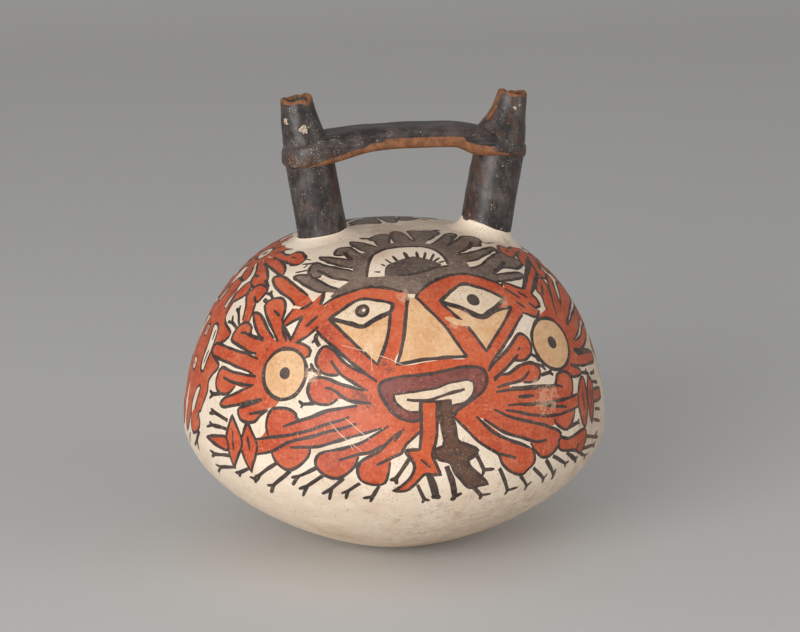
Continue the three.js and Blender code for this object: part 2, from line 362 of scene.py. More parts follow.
# The side of a shell from the middle of its foot to its top, with lengths measured from the widest line
class Side:
    def __init__(self, inset, steps=360):
        reach = body["radius"] - inset
        bowlTurn = acos((body["foot"] / body["radius"]) ** (body["bowlCurve"][0] / 2)) if inset == 0 else pi / 2
        depth = body["bowlDepth"] if inset == 0 else body["widest"] - inset
        below = [quarterPoint(reach, depth, body["bowlCurve"],
                              bowlTurn * step / steps) for step in range(steps + 1)]
        above = [quarterPoint(reach, body["domeRise"] - inset, body["domeCurve"], pi / 2 * step / steps)
                 for step in range(1, steps + 1)]
        below = [(radius, body["widest"] - drop) for radius, drop in below]
        above = [(radius, body["widest"] + rise) for radius, rise in above]
        self.points = [(0, below[-1][1])] * (below[-1][0] > 1) + below[::-1] + above
        self.lengths = [0]
        for (r0, z0), (r1, z1) in zip(self.points, self.points[1:]):
            self.lengths.append(self.lengths[-1] + hypot(r1 - r0, z1 - z0))
        atBelt = self.lengths[len(self.points) - len(above) - 1]
        self.lengths = [length - atBelt for length in self.lengths]
        self.bottom = self.lengths[0]
        self.top = self.lengths[-1]

    def at(self, up):
        index = min(max(bisect_right(self.lengths, up), 1), len(self.points) - 1)
        start, end = self.lengths[index - 1], self.lengths[index]
        share = min(max((up - start) / (end - start), 0), 1)
        (r0, z0), (r1, z1) = self.points[index - 1], self.points[index]
        return r0 + (r1 - r0) * share, z0 + (z1 - z0) * share


outside = Side(0)
inside = Side(body["wall"])
beltDegree = body["radius"] * pi / 180  # length of a degree round the widest line


# A chart of the body: x runs round it, as long as on the widest line, and y up its side
def spot(turn, up):
    return turn * beltDegree, up


# A point of the chart that lies some millimetres right of and above another, as seen on the surface there
def beside(centre, right, above):
    up = centre[1] + above
    radius = max(outside.at(up)[0], 4)
    return centre[0] + right * body["radius"] / radius, up


def surfacePoint(side, x, up, waver=0):
    radius, height = side.at(up)
    turn = radians(x / beltDegree)
    point = Vector((radius * sin(turn), -radius * cos(turn), height))
    if waver:
        dip = 0.5 + 0.5 * noise.noise(point / body["waverLength"] + Vector((5, 2, 9)))
        fade = min(1, radius / 20)
        point -= Vector((point.x, point.y, 0)).normalized() * waver * dip * fade
    return point


def surfaceNormal(side, x, up, waver):
    step = 0.4
    up = min(max(up, side.bottom + 2 * step), side.top - 2 * step)
    radius = max(side.at(up)[0], 0.5)
    across = step * body["radius"] / radius
    right = surfacePoint(side, x + across, up, waver) - surfacePoint(side, x - across, up, waver)
    rising = surfacePoint(side, x, up + step, waver) - surfacePoint(side, x, up - step, waver)
    return right.cross(rising).normalized()


brush = {
    "line": 1.3,  # width of a painted line
    "press": 0.35,  # how much it swells and thins
    "sway": 0.3,  # how far outlines and lines stray, and over what length
    "swayLength": 6,
    "toe": 2.4,  # length of a tick's toe, and how many degrees it turns from the stem
    "toeTurn": 38,
}


# The unsteadiness of a hand: every outline and line sways by the same soft noise
def unsteady(point):
    sway = noise.noise_vector(Vector((point.x / brush["swayLength"], point.y / brush["swayLength"], 3)))
    return point + brush["sway"] * sway.to_2d()


# Places given in degrees round the body and millimetres up its side
def places(*points):
    return [Vector(spot(turn, up)) for turn, up in points]


# Places given in millimetres right of a meridian and up the side
def near(meridian, *points):
    return [Vector(beside(spot(meridian, 0), right, up)) for right, up in points]


# A smooth curve through given points, in steps of about a length. A point given twice is a corner.
def smooth(points, closed=False, step=1.5):
    count = len(points)
    curve = []
    for index in range(count if closed else count - 1):
        start, end = points[index], points[(index + 1) % count]
        before = points[index - 1] if closed or index else 2 * start - end
        after = points[(index + 2) % count] if closed or index + 2 < count else 2 * end - start
        steps = round((end - start).length / step)
        if steps == 0 and (end - start).length > 0.01:
            steps = 1
        for part in range(steps):
            share = part / steps
            curve.append(0.5 * (2 * start + (end - before) * share
                                + (2 * before - 5 * start + 4 * end - after) * share ** 2
                                + (3 * start - before - 3 * end + after) * share ** 3))
    return curve if closed else curve + [points[-1]]


# A painting holds flat shapes in chart places. A later shape covers an earlier one.
class Painting:
    def __init__(self):
        self.points = []
        self.faces = []
        self.slips = []

    def add(self, outline, slip):
        outline = [unsteady(point) for point in outline]
        area = sum(start.cross(end) for start, end in zip(outline, outline[1:] + outline[:1]))
        if abs(area) < 1e-3:
            return
        first = len(self.points)
        self.points += outline if area > 0 else outline[::-1]
        self.faces.append(list(range(first, first + len(outline))))
        self.slips.append(slip)

    def fill(self, slip, points):
        self.add(smooth(points, closed=True), slip)

    # A brush line of short strokes, its width in brush widths and its ends thinned to a share of that
    def line(self, points, width=1, ends=(0.7, 0.7), slip="black", closed=False):
        points = smooth(points, closed)
        count = len(points)
        rims = []
        for index, point in enumerate(points):
            before = points[index - 1] if closed or index else point
            after = points[(index + 1) % count] if closed or index < count - 1 else point
            squeeze = max(outside.at(point[1])[0], 6) / body["radius"]
            along = Vector(((after.x - before.x) * squeeze, after.y - before.y)).normalized()
            share = index / max(count - 1, 1)
            taper = 1 if closed else (ends[0] + (1 - ends[0]) * min(1, share * 5)) * \
                (ends[1] + (1 - ends[1]) * min(1, (1 - share) * 5))
            press = 1 + brush["press"] * noise.noise(Vector((point.x / 5, point.y / 5, 8)))
            offset = Vector((-along.y / squeeze, along.x)) * brush["line"] * width * press * taper / 2
            rims.append((point + offset, point - offset))
        for (left, right), (nextLeft, nextRight) in zip(rims, rims[1:] + rims[:1] * closed):
            self.add([left, right, nextRight], slip)
            self.add([left, nextRight, nextLeft], slip)

    def outlined(self, slip, points, width=1):
        self.fill(slip, points)
        self.line(points, width, closed=True)

    # A shape whose outline is painted only from its first point to one of its last
    def lobe(self, points, root, slip="red"):
        self.fill(slip, points + root)
        self.line(points)

    def disc(self, slip, centre, radius, tall=1.0, line=1):
        turns = [2 * pi * step / 24 for step in range(24)]
        rim = [Vector(beside(centre, radius * cos(turn), radius * tall * sin(turn))) for turn in turns]
        self.fill(slip, rim)
        if line:
            self.line(rim, line, closed=True)

    # A tick that ends in two short toes. Where fewer are given, the rest spread from the stem's end.
    def tick(self, stem, *toes, width=1.2):
        self.line(stem, width, ends=(1, 1))
        along = (stem[-1] - stem[0]).normalized() * brush["toe"]
        turns = (-brush["toeTurn"], brush["toeTurn"])
        spread = [stem[-1] + Matrix.Rotation(radians(turn), 2) @ along for turn in turns]
        if len(toes) == 1:
            spread = [max(spread, key=lambda toe: (toe - toes[0]).length)]
        for toe in [*toes, *spread][:2]:
            self.line([stem[-1], toe], width * 0.95, ends=(1, 0.6))

    def copyFrom(self, other, shift):
        first = len(self.points)
        self.points += [point + Vector((shift, 0)) for point in other.points]
        self.faces += [[index + first for index in face] for face in other.faces]
        self.slips += other.slips


figure = Painting()


def paintHeaddress(art):
    art.add(places((-36.2, 67), (-34.4, 71.3), (-31.2, 75), (-31, 80.8), (-32, 82.5), (-34.2, 87),
                   (-35.5, 88), (-32.5, 92.6), (-30, 94.2), (-24.8, 99.8), (-16.2, 103.5), (-11.5, 104.3),
                   (6.8, 104.5), (17.9, 100.5), (28, 96.6), (26.7, 90.1), (26.3, 84), (25.5, 80.6),
                   (34.2, 75), (31.5, 71.2), (33.8, 68.6), (26.9, 74.7), (20, 77.7), (12.7, 77.9),
                   (5.3, 75.8), (-0.7, 71.9), (-3.9, 68.6), (-6.8, 67.9), (-10, 71.3), (-15, 72.7), (-20, 73),
                   (-25, 72), (-30.3, 69.4), (-34.7, 66.5)),
            "umber")
    gaps = (
        ((-53, 84.1), (-51, 84.8), (-46.2, 84), (-42.1, 83.1), (-36.9, 82.5), (-32.3, 82), (-34.8, 81.5),
         (-39.5, 81.9), (-45, 82.7), (-49.8, 83.2)),
        ((26.7, 90.3), (36, 91.2), (42.1, 92.1), (48.6, 90.8), (57, 89.6), (61.9, 88.2), (49.3, 88.9),
         (40.7, 89.3), (32.9, 89.3)),
        ((26, 83.7), (32.6, 83.9), (41, 84.8), (54.8, 85.8), (52.7, 84.3), (42.9, 83.4), (32.6, 81.2),
         (25.8, 80.4)),
        ((-31.2, 75), (-35.7, 74.9), (-44.6, 76.4), (-45.1, 75), (-42.5, 74.5), (-38.1, 73.3), (-34.7, 72.2)),
    )
    for gap in gaps:
        art.add(places(*gap), "cream")
    # rays at the left from the lowest up, the three at the top, then those at the right, each with its root
    rays = (
        (((-38.8, 69), (-41.2, 68.6), (-44.1, 69.1), (-49, 70.6), (-52.5, 71.8), (-56.3, 72.9), (-57.6, 73.8),
          (-54.9, 75.2), (-50.5, 75.8), (-46.9, 74.6), (-43, 73.6), (-38.9, 72.1), (-34.4, 71.3)),
          ((-34, 69.5),)),
        (((-31, 80.8), (-35.5, 81.3), (-41.3, 81.8), (-48.1, 82.6), (-51.9, 82.8), (-53.8, 81), (-53, 78.6),
          (-51.3, 76.8), (-48.9, 75.3), (-46.6, 74.7), (-44.6, 76.2)),
         ((-44.6, 77.4), (-41.3, 76.7), (-38, 76), (-34.5, 75.6), (-31, 75.4))),
        (((-34.2, 87), (-39.2, 87.5), (-45.6, 87.6), (-50.3, 87.4), (-54.8, 86.5), (-54.8, 86.5),
          (-52.8, 85.5), (-47.6, 84.7), (-42.4, 83.6), (-37.1, 82.8), (-32, 82.5)), ((-31, 84.6),)),
        (((-32.5, 92.6), (-36, 93.6), (-40.3, 95.6), (-44.4, 96.8), (-49, 95.6), (-50.4, 93.9), (-48.7, 90.8),
          (-47, 89.6), (-44.5, 89.5), (-41.9, 90)), ((-39, 89), (-35, 88.2), (-31, 90))),
        (((-24.8, 99.2), (-30.2, 100.5), (-37.6, 102), (-44.8, 102.2), (-50, 101.8), (-50, 101.8),
          (-46, 99.5), (-39.1, 97.2), (-35, 95.6), (-29.8, 94.5)), ((-25, 96.5),)),
        (((-24.8, 100.4), (-27.7, 103), (-30.4, 105.3), (-37.5, 106.7), (-37.8, 111.7), (-32, 115.2),
          (-20.7, 114.6), (-17.8, 111.9), (-16.2, 103.5)), ((-18, 101),)),
        (((-11.1, 104.5), (-14.8, 111), (-17.3, 117.6), (-11.3, 120.8), (1.2, 119), (4.9, 113.2), (5, 108),
          (7, 104.5)), ((0, 102),)),
        (((7.4, 104.6), (10, 110), (13.5, 114.7), (22, 119.4), (34.2, 119.2), (40.2, 117), (51.8, 114.9),
          (55.2, 112.3), (50.7, 109.3), (34.6, 107.4), (20.4, 104.4)), ((14, 102),)),
        (((17.9, 100.5), (32.6, 103.8), (49, 106.3), (59.8, 105), (55.8, 102.8), (43.1, 101), (32.3, 98.3),
          (27.7, 96.5)), ((20, 97),)),
        (((28.8, 96.7), (41.5, 99.2), (54.6, 100.5), (58.8, 100.1), (63.4, 97.5), (62.9, 95.3), (60.6, 93.8),
          (55, 92.4), (50.6, 91.2), (46.3, 91.8), (43.3, 92.6), (36.5, 91.5), (27.4, 90.2)), ((24, 93),)),
        (((26.8, 89.7), (32.8, 89.1), (40.5, 89.1), (49.3, 88.7), (56.3, 87.8), (56.8, 86.8), (53.7, 86.3),
          (41.8, 85.3), (32.9, 84.1), (26.4, 84.2)), ((22, 87),)),
        (((25.5, 80.3), (32, 80.7), (42.2, 83.2), (51, 84.1), (56.5, 83.1), (57, 79.6), (59.1, 77.7),
          (58.7, 75.4), (56.8, 74.3), (50.3, 74), (47.5, 75.3), (42.9, 76.7), (38.7, 76), (34.2, 75.1)),
          ((28, 77),)),
        (((34, 74.8), (39.4, 74), (47.8, 72.6), (50, 71.5), (50.5, 69.8), (44, 69.9), (36, 70.8),
          (31.1, 71.2)),
         ((30, 73),)),
    )
    for points, root in rays:
        art.lobe(places(*points), places(*root), slip="umber")
    # slits of the hooked rays, and thin strokes beside them
    strokes = (
        (1, (-48.6, 79.1), (-45, 78.1), (-41.3, 76.9), (-38, 76.1), (-34.5, 75.7), (-31.1, 75.5)),
        (1.4, (-43.3, 92.6), (-40.6, 90.6), (-37.5, 88.8), (-35.1, 87.9)), (1.5, (-49.1, 106.8),
                                                                            (-39, 107.3)),
        (2.2, (56.1, 112), (64.6, 111)), (1.5, (51.8, 103.7), (42, 101.6)),
        (1.3, (50.6, 95.3), (46, 93.7), (36.8, 91.6)), (0.8, (60.6, 93.8), (58, 91.4), (65.2, 88.9)),
        (1.3, (48.5, 79), (44.1, 77.9), (35.8, 76.1)), (1.2, (52.2, 84.5), (58.5, 85.5), (60.2, 84.5)),
        (1, (59, 75.1), (63, 74.1)), (0.8, (-52.4, 83.3), (-55.8, 81.6), (-59.7, 80.6)),
        (0.8, (-56.2, 80.6), (-56.7, 78.9)), (0.8, (-53.2, 78.5), (-58.5, 75.6)), (0.7, (-64.7, 83.3),
                                                                                   (-57.4, 83.8)),
        (0.7, (-66, 78.1), (-61.8, 79.4)),
    )
    for width, *points in strokes:
        art.line(places(*points), width)
    # the pale half-disc and the dark one in it
    halfDisc = ((-20.7, 78), (-19, 84.7), (-16.2, 91.3), (-12, 96), (-7, 98.8), (-1.2, 99.9), (4.7, 98.8),
                (8.8, 95.5), (11.3, 89.7), (12, 84.3))
    art.fill("cream", near(0, *halfDisc, (12, 84.3), (8.8, 83.4), (-4, 80), (-13.2, 78.8), (-20.7, 78)))
    art.line(near(0, *halfDisc), 1.2)
    art.fill("soot", places((-16.2, 78.9), (-16.2, 78.9), (-15.8, 84.7), (-11.2, 88), (-6, 90), (-0.4, 91.3),
                            (5.2, 89.3), (10.6, 86.3), (12.1, 84), (12.1, 84), (8.2, 82.6), (2.2, 80.9),
                            (-3.4, 79.8), (-10.3, 79)))
    art.line(places((-10.3, 79), (-3.4, 79.9), (2.2, 81), (8.2, 82.7), (15.5, 83.3)), 0.9)
    for start, end, width in (((-17.4, 81), (-15, 81), 0.6), ((-14, 86), (-12.4, 84.7), 0.7),
                              ((-11.6, 89.3), (-9.8, 86.8), 0.7), ((-8.3, 92), (-7.2, 88.5), 0.9),
                              ((-3.3, 94.9), (-2.9, 90), 1.3), ((1.5, 94.9), (1.1, 90), 0.9),
                              ((4.9, 94), (3.2, 89), 0.9), ((7.9, 92.4), (5.7, 87.6), 0.8),
                              ((9.7, 89), (7, 87), 0.7), ((11.3, 86.7), (8.6, 85.6), 0.7)):
        art.line(near(0, start, end), width, ends=(0.4, 1))


def paintMask(art):
    # red of the brows, of the bands beside the nose and of the cheeks' lower bands
    art.fill("red", places((-39, 57), (-34.7, 66.5), (-30.3, 69.4), (-25, 72), (-20, 73), (-15, 72.7),
                           (-10, 71.3), (-6.8, 67.9), (-9.3, 50), (-11.3, 41.3), (2, 42.5), (9.7, 42.7),
                           (5, 54.7), (2.5, 59), (-3.9, 68.6), (-0.7, 71.9), (5.3, 75.8), (12.7, 77.9),
                           (20, 77.7), (26.9, 74.7), (33.8, 68.6), (37, 60), (35, 55.4), (28.4, 50.4),
                           (17.6, 39.5), (15, 30), (0, 22), (-15, 26), (-17, 34.5), (-21.4, 38.8),
                           (-36.7, 52)))
    art.line(places((-38.5, 62), (-34.7, 66.5), (-30.3, 69.4), (-25, 72), (-20, 73), (-15, 72.7), (-10, 71.3),
                    (-8.5, 70.8)), 1)
    art.line(places((-3.9, 68.6), (-0.7, 71.9), (5.3, 75.8), (12.7, 77.9), (20, 77.7), (26.9, 74.7),
                    (31.9, 71), (33.8, 68.6)), 1.1)
    art.line(places((-37.5, 53.6), (-36.7, 52), (-29, 45.6), (-21.4, 38.8), (-17, 34.5)))
    art.line(places((35, 55.4), (28.4, 50.4), (26, 48), (17.6, 39.5), (15.9, 36.6)))
    # cheeks and nose
    cheekLeft = places((-33.8, 57.6), (-33.8, 57.6), (-27, 56.3), (-22.4, 55.2), (-18, 58.5), (-13.2, 61.5),
                       (-13.2, 61.5), (-14, 51), (-16.7, 41), (-16.7, 41), (-25.5, 50))
    cheekRight = places((5, 65.4), (5, 65.4), (12, 61.5), (18.3, 57), (25, 59), (32, 59.4), (32, 59.4),
                        (23.5, 51.6), (16.4, 44.1), (16.4, 44.1), (14.1, 50), (10.4, 57.2))
    nose = places((-6.8, 68), (-3.9, 68.3), (-3.9, 68.3), (2.5, 59), (5, 54.7), (9.7, 42.7), (9.7, 42.7),
                  (2.8, 43.1), (-4.6, 42.6), (-11.2, 41.3), (-11.2, 41.3), (-9.3, 50))
    art.outlined("buff", cheekLeft)
    art.outlined("buff", cheekRight)
    art.outlined("buff", nose)
    art.fill("cream", places((-6.8, 69.7), (-3.9, 69.7), (-4.4, 68.2), (-6.4, 68)))
    # where the band right of the nose is rubbed through
    art.fill("buff", places((5, 58.6), (7, 56.4), (9, 55.2), (12.5, 54.2), (14, 55), (12.6, 56.6),
                            (9.8, 57.4), (7.4, 59)))
    # eyes
    eyeLeft = places((-33.8, 58), (-33.8, 58), (-28.3, 64), (-24.4, 67), (-17.5, 66.7), (-12.6, 65.3),
                     (-12.6, 65.3), (-13, 62.2), (-18, 59.4), (-22.4, 56), (-27.3, 57))
    eyeRight = places((5, 66), (5, 66), (11.7, 70.8), (17, 72.8), (21.5, 70.8), (26, 67.9), (31, 63.4),
                      (31, 63.4), (26, 60.8), (22, 59.4), (18.3, 58), (11.7, 62.6))
    art.outlined("ivory", eyeLeft, 1.1)
    art.outlined("ivory", eyeRight, 1.1)
    art.disc("umber", spot(-23, 62), 2.1, 1.05)
    art.disc("cream", spot(-22.6, 62.2), 0.6, line=0)
    art.disc("black", spot(17.7, 65), 2.6, 1, line=0)


# Hooked ends are painted from where they leave their band round to its lower edge. Their slit runs on inside.
def paintLobes(art):
    art.fill("red", places((-16, 36), (-21, 30.5), (-20, 24), (-14, 18.6), (-10, 17), (-4, 18), (4, 19.5),
                           (11, 19.5), (18, 22), (22, 26), (21, 31), (16.5, 37.5), (0, 40)))
    # the left bundle, with two hooked ends and a band that runs on to the two lozenges
    art.fill("red", places((-37.7, 18.4), (-32.3, 21.6), (-27.3, 24), (-18, 27), (-10, 27), (-10, 19),
                           (-15.3, 17.7), (-20.4, 15.2), (-26.4, 12.4), (-34.2, 8.8), (-34.7, 5.2),
                           (-37.2, 1.3), (-40.2, -0.9), (-43.6, 0.9), (-45.3, 4.5), (-50, 3), (-54, 4),
                           (-54, 9), (-50, 9), (-47.6, 12.7), (-47.6, 17.7), (-46, 21.3), (-42, 22),
                           (-39, 20.6)))
    art.line(places((-21.9, 25.6), (-27.3, 24), (-32.3, 21.6), (-37.7, 18.4), (-39, 20.6), (-42, 22),
                    (-46, 21.3), (-47.6, 17.7), (-47.6, 13.8), (-46.6, 10.6)))
    art.line(places((-42.4, 15.2), (-35.7, 19.5), (-30.8, 22)))
    art.line(places((-51, 8.6), (-39.7, 12.7), (-30.8, 17.4), (-23.9, 21.3)))
    art.line(places((-50.4, 3), (-45, 5.6), (-39.7, 10.2), (-30.8, 14.5), (-21.9, 19)))
    art.line(places((-45, 6), (-45.3, 4.5), (-43.6, 0.9), (-40.2, -0.9), (-37.2, 1.3), (-34.7, 5.2),
                    (-34.2, 8.6)))
    art.line(places((-39.9, 8), (-32.3, 9.5), (-26.4, 12.4), (-20.4, 15.2), (-15.3, 17.7)))
    # the two lobes under it
    art.lobe(places((-13.5, 18.6), (-19.9, 12.4), (-24.4, 9.9), (-30.3, 7.7), (-32.3, 5.6), (-32.5, 2.7),
                    (-31.3, 0.2), (-28.3, -1.9), (-25.4, -1.2), (-22.4, 2.7), (-21.2, 6.6)),
             places((-15, 9), (-10, 16.3), (-9, 22)))
    art.line(places((-26.4, 5), (-21.4, 7.4), (-17.5, 9), (-13.5, 12), (-10, 16.3)))
    art.lobe(places((-10, 16.6), (-12.6, 14), (-16, 9), (-19.9, 5.6), (-21.4, 2.7), (-20.9, -0.9),
                    (-19.5, -3), (-16.5, -4), (-14.3, -3), (-13.3, 1.3), (-13, 4.9)),
             places((-9, 11.3), (-5, 17), (-4, 22)))
    art.line(places((-16.5, 3.8), (-13, 6.3), (-10, 8.6), (-9, 11.3), (-5, 16.6)))
    art.line(places((-12, 12.7), (-9.3, 17.4)), 0.8)
    # beside the left roundel
    art.lobe(places((-16.7, 34.5), (-20.4, 37.7), (-25.4, 40.6), (-31.3, 46.3), (-33.8, 46.6), (-35, 43.4),
                    (-35, 40), (-32.8, 37), (-29.8, 36), (-27.8, 36.6)),
             places((-19.2, 31), (-13, 30)))
    art.line(places((-30.6, 41.6), (-27.8, 37.6), (-25.4, 35.6), (-19.2, 31)))
    art.lobe(places((-20, 31.2), (-27.3, 33.4), (-32.8, 35.2), (-35.5, 33.8), (-36.2, 30.6), (-36.2, 29),
                    (-34.2, 25.6), (-29.8, 25.2), (-27.3, 27.7)),
             places((-18, 26.6), (-13, 28)))
    art.line(places((-31.3, 31.3), (-28.3, 30.6), (-24.4, 27.4), (-18, 26.6)))
    # the right side, from the top down
    art.lobe(places((15.5, 36.4), (17.6, 38.4), (22, 42), (26, 45.2), (28.4, 47.7), (30.4, 48.4),
                    (32.6, 46.3), (33.1, 43.4), (32.1, 40.2), (29.4, 38.4), (25.2, 38.8)),
             places((20, 35), (13, 32)))
    art.line(places((27.2, 41), (25, 39), (22, 36.8), (17, 33.4)))
    art.line(places((28.6, 43.4), (27.4, 42.4)), 1.1)
    art.lobe(places((17, 32.6), (19.6, 34.5), (22, 34.5), (26.4, 36.6), (30, 37), (32.6, 35.6), (33.6, 33),
                    (32.6, 30.6), (29.4, 29.5), (26.4, 30.2)),
             places((18.6, 30), (12, 30)))
    art.line(places((29.6, 33.8), (26.4, 31.3), (22, 30.6), (17.6, 30)))
    bundle = places((15, 29), (22, 29), (32, 27.4), (37.6, 26), (38.3, 27.4), (40.2, 29.5), (43.2, 30),
                    (45.7, 28.4), (46.7, 25.6), (45.7, 21.6), (47, 20), (53, 19), (53, 14), (46, 15),
                    (45.4, 15), (44.2, 12), (41.7, 9), (39.3, 8.8), (36.3, 11.6), (32.8, 12), (26, 15.6),
                    (21.5, 17.7), (12, 20))
    art.fill("red", bundle)
    art.line(places((22, 29), (32, 27.4), (38, 26.2), (40.2, 29.5), (43.2, 30), (45.7, 28.4), (46.7, 25.6),
                    (45.7, 21.6), (44.2, 20.2)))
    art.line(places((17, 28.4), (22, 28.2), (32, 27), (38.8, 26), (41.5, 24.5)))
    art.line(places((23.7, 25.2), (29.4, 24.5)))
    art.line(places((20, 23), (24, 22.4), (32, 21), (40.2, 20), (48, 19.8)))
    art.line(places((19, 21.4), (28.4, 17.4), (36.8, 15.2), (47.6, 15.2)))
    art.line(places((32, 20.2), (41.7, 17)))
    art.line(places((45.4, 15), (44.2, 12), (41.7, 9), (39.3, 8.8), (36.3, 11.6), (35.6, 14)))
    art.lobe(places((15.6, 22), (21.5, 17.7), (26, 15.6), (32.8, 12), (36.8, 9), (37.5, 6.6), (36.3, 3.4),
                    (32.8, 0.6), (30, 0.9), (28, 3.4), (26.2, 7.4)),
             places((20, 12), (12.2, 19), (8, 24)))
    art.line(places((32, 7), (28.6, 7.2), (25.7, 8.6), (17.6, 13.6), (12.2, 19)))
    art.lobe(places((26.4, 5.6), (27.4, 2.7), (27.2, -0.5), (25, -3), (23.5, -4.4), (19.6, -2.3), (17, 1.3),
                    (16, 5), (14.6, 6.6), (9.7, 12), (4.3, 20.6)),
             places((8, 23), (10.7, 20), (19.6, 10)))
    art.line(places((21.3, 2.7), (18.6, 4.2), (16, 5.6)))
    art.line(places((10.2, 20.4), (14.6, 14), (19.6, 10), (26, 5.6)))
    leaf = places((37.2, 6.2), (40.7, 4.9), (44.5, 5.2), (49.6, 6), (50.4, 2.6), (48.9, -0.4), (47.2, -3.1),
                  (44, -0.9), (39.6, 0.4), (36.6, 2.2))
    art.outlined("red", leaf)
    art.line(places((44.5, -0.8), (46, 1.4)))


def paintLozenges(art):
    art.outlined("red", places((-54.3, 14.5), (-54.3, 14.5), (-50.6, 7.7), (-50.6, 3), (-52.6, -4.8),
                               (-52.6, -4.8), (-55.8, 3.8), (-55.8, 8)))
    art.line(places((-53.8, 8.8), (-52.8, 4)), 0.8)
    art.outlined("red", places((-60.4, 15.2), (-60.4, 15.2), (-56.3, 8.4), (-55.8, 3.8), (-59.2, -4.8),
                               (-59.2, -4.8), (-60.9, 1.6), (-62.2, 6.6)))
    art.line(places((-59.7, 9.5), (-58.9, 2.4)), 0.8)
    art.outlined("red", places((-62.2, 6.2), (-66, 5.6), (-71.5, 3.4), (-71.5, 3.4), (-66, 1.8),
                               (-61.2, 1.6)))
    art.outlined("red", places((48.9, 20.6), (51.6, 24.5), (53.6, 24.5), (54, 20.6), (52.6, 12), (50.4, 6.6),
                               (50.4, 6.6), (48.9, 7.7), (47.6, 15)))
    art.line(places((51.4, 20), (50.6, 13)), 0.8)
    art.outlined("red", places((57, 24), (57, 24), (59.5, 20.6), (57.5, 12), (54.8, 6.3), (54.8, 6.3),
                               (53.6, 11.3), (54.6, 19)))
    art.line(places((56.8, 19), (55.8, 12)), 0.8)
    art.outlined("red", places((59.2, 17.6), (66.8, 15.8), (66.8, 15.8), (67.2, 11.8), (67.2, 11.8),
                               (58.4, 13.4)))


def paintMouth(art):
    ring = places((-16.1, 33.2), (-14.5, 35.1), (-10.3, 36.4), (-4.7, 37.1), (1.1, 37.9), (7.1, 38.9),
                  (11.7, 38.7), (14.3, 37.2), (14.8, 34.1), (13.7, 30.5), (11.3, 27.9), (8.2, 25.7),
                  (5, 23.1), (3.2, 20.7), (-4.9, 20.2), (-7.8, 20.3), (-10.4, 21.4), (-12.5, 23.6),
                  (-14.4, 26.9), (-15.8, 30.2))
    art.fill("maroon", ring)
    art.line(ring, 1, closed=True)
    # tongues, the red one with a forked end and a brown one
    red = places((-4.5, 27.1), (-4.8, 20.6), (-5, 13.2), (-5.3, 9.5), (-5.3, 9.5), (-9.2, 9.4), (-9.2, 9.4),
                 (-7.6, 5.9), (-6.9, 3.2), (-7.9, -1), (-10.5, -4.7), (-12.2, -6.5), (-12.2, -6.5),
                 (-9.1, -6.6), (-6.6, -3.5), (-4.3, 0.2), (-2.3, -0.1), (0.1, -0.3), (0.1, -0.3), (-1, 3.6),
                 (-2, 7.4), (-1.4, 11.1), (-0.7, 16.6), (-0.6, 22.1), (-0.7, 26.9))
    brown = places((0.7, 26.9), (0.5, 20.2), (1, 12.8), (0.7, 10.6), (-1.7, 8.6), (-0.2, 5.4), (2.5, 4.1),
                   (3.8, 0.1), (6.1, -4.3), (8.3, -6.9), (11, -6.5), (13.3, -6.1), (13.3, -6.1), (10.7, -2.1),
                   (7.8, 1.9), (7.3, 4.6), (9.2, 6.2), (10.1, 7.9), (7.4, 10.2), (4.7, 12.4), (4.1, 18.1),
                   (3.5, 22.9), (3.5, 26.6))
    art.outlined("brown", brown)
    art.outlined("red", red)
    art.line(places((-5.3, 5.9), (-2.6, 2.7)), 0.8)
    art.line(places((2, 7), (6.2, 7.4)), 0.8)
    teeth = places((-12, 30.1), (-12, 30.1), (-9, 30.6), (-4.9, 31.2), (0.7, 32.4), (5.1, 33.9), (9, 34.1),
                   (10.4, 33.2), (10.5, 31), (9.6, 28.1), (7.4, 26.1), (5.1, 25.4), (3.4, 25.3), (3.4, 27.2),
                   (-0.6, 27), (-5, 27.1), (-5, 27.1), (-5.1, 23.4), (-5.1, 23.4), (-7.7, 23.6), (-9.8, 24.8),
                   (-11.7, 27.4))
    art.outlined("ivory", teeth, 0.7)
    art.line(places((-8.7, 28.1), (-6.3, 27.6), (-2.3, 27.6), (0.5, 28.7), (3.4, 29.6), (7.8, 30.8)), 1)


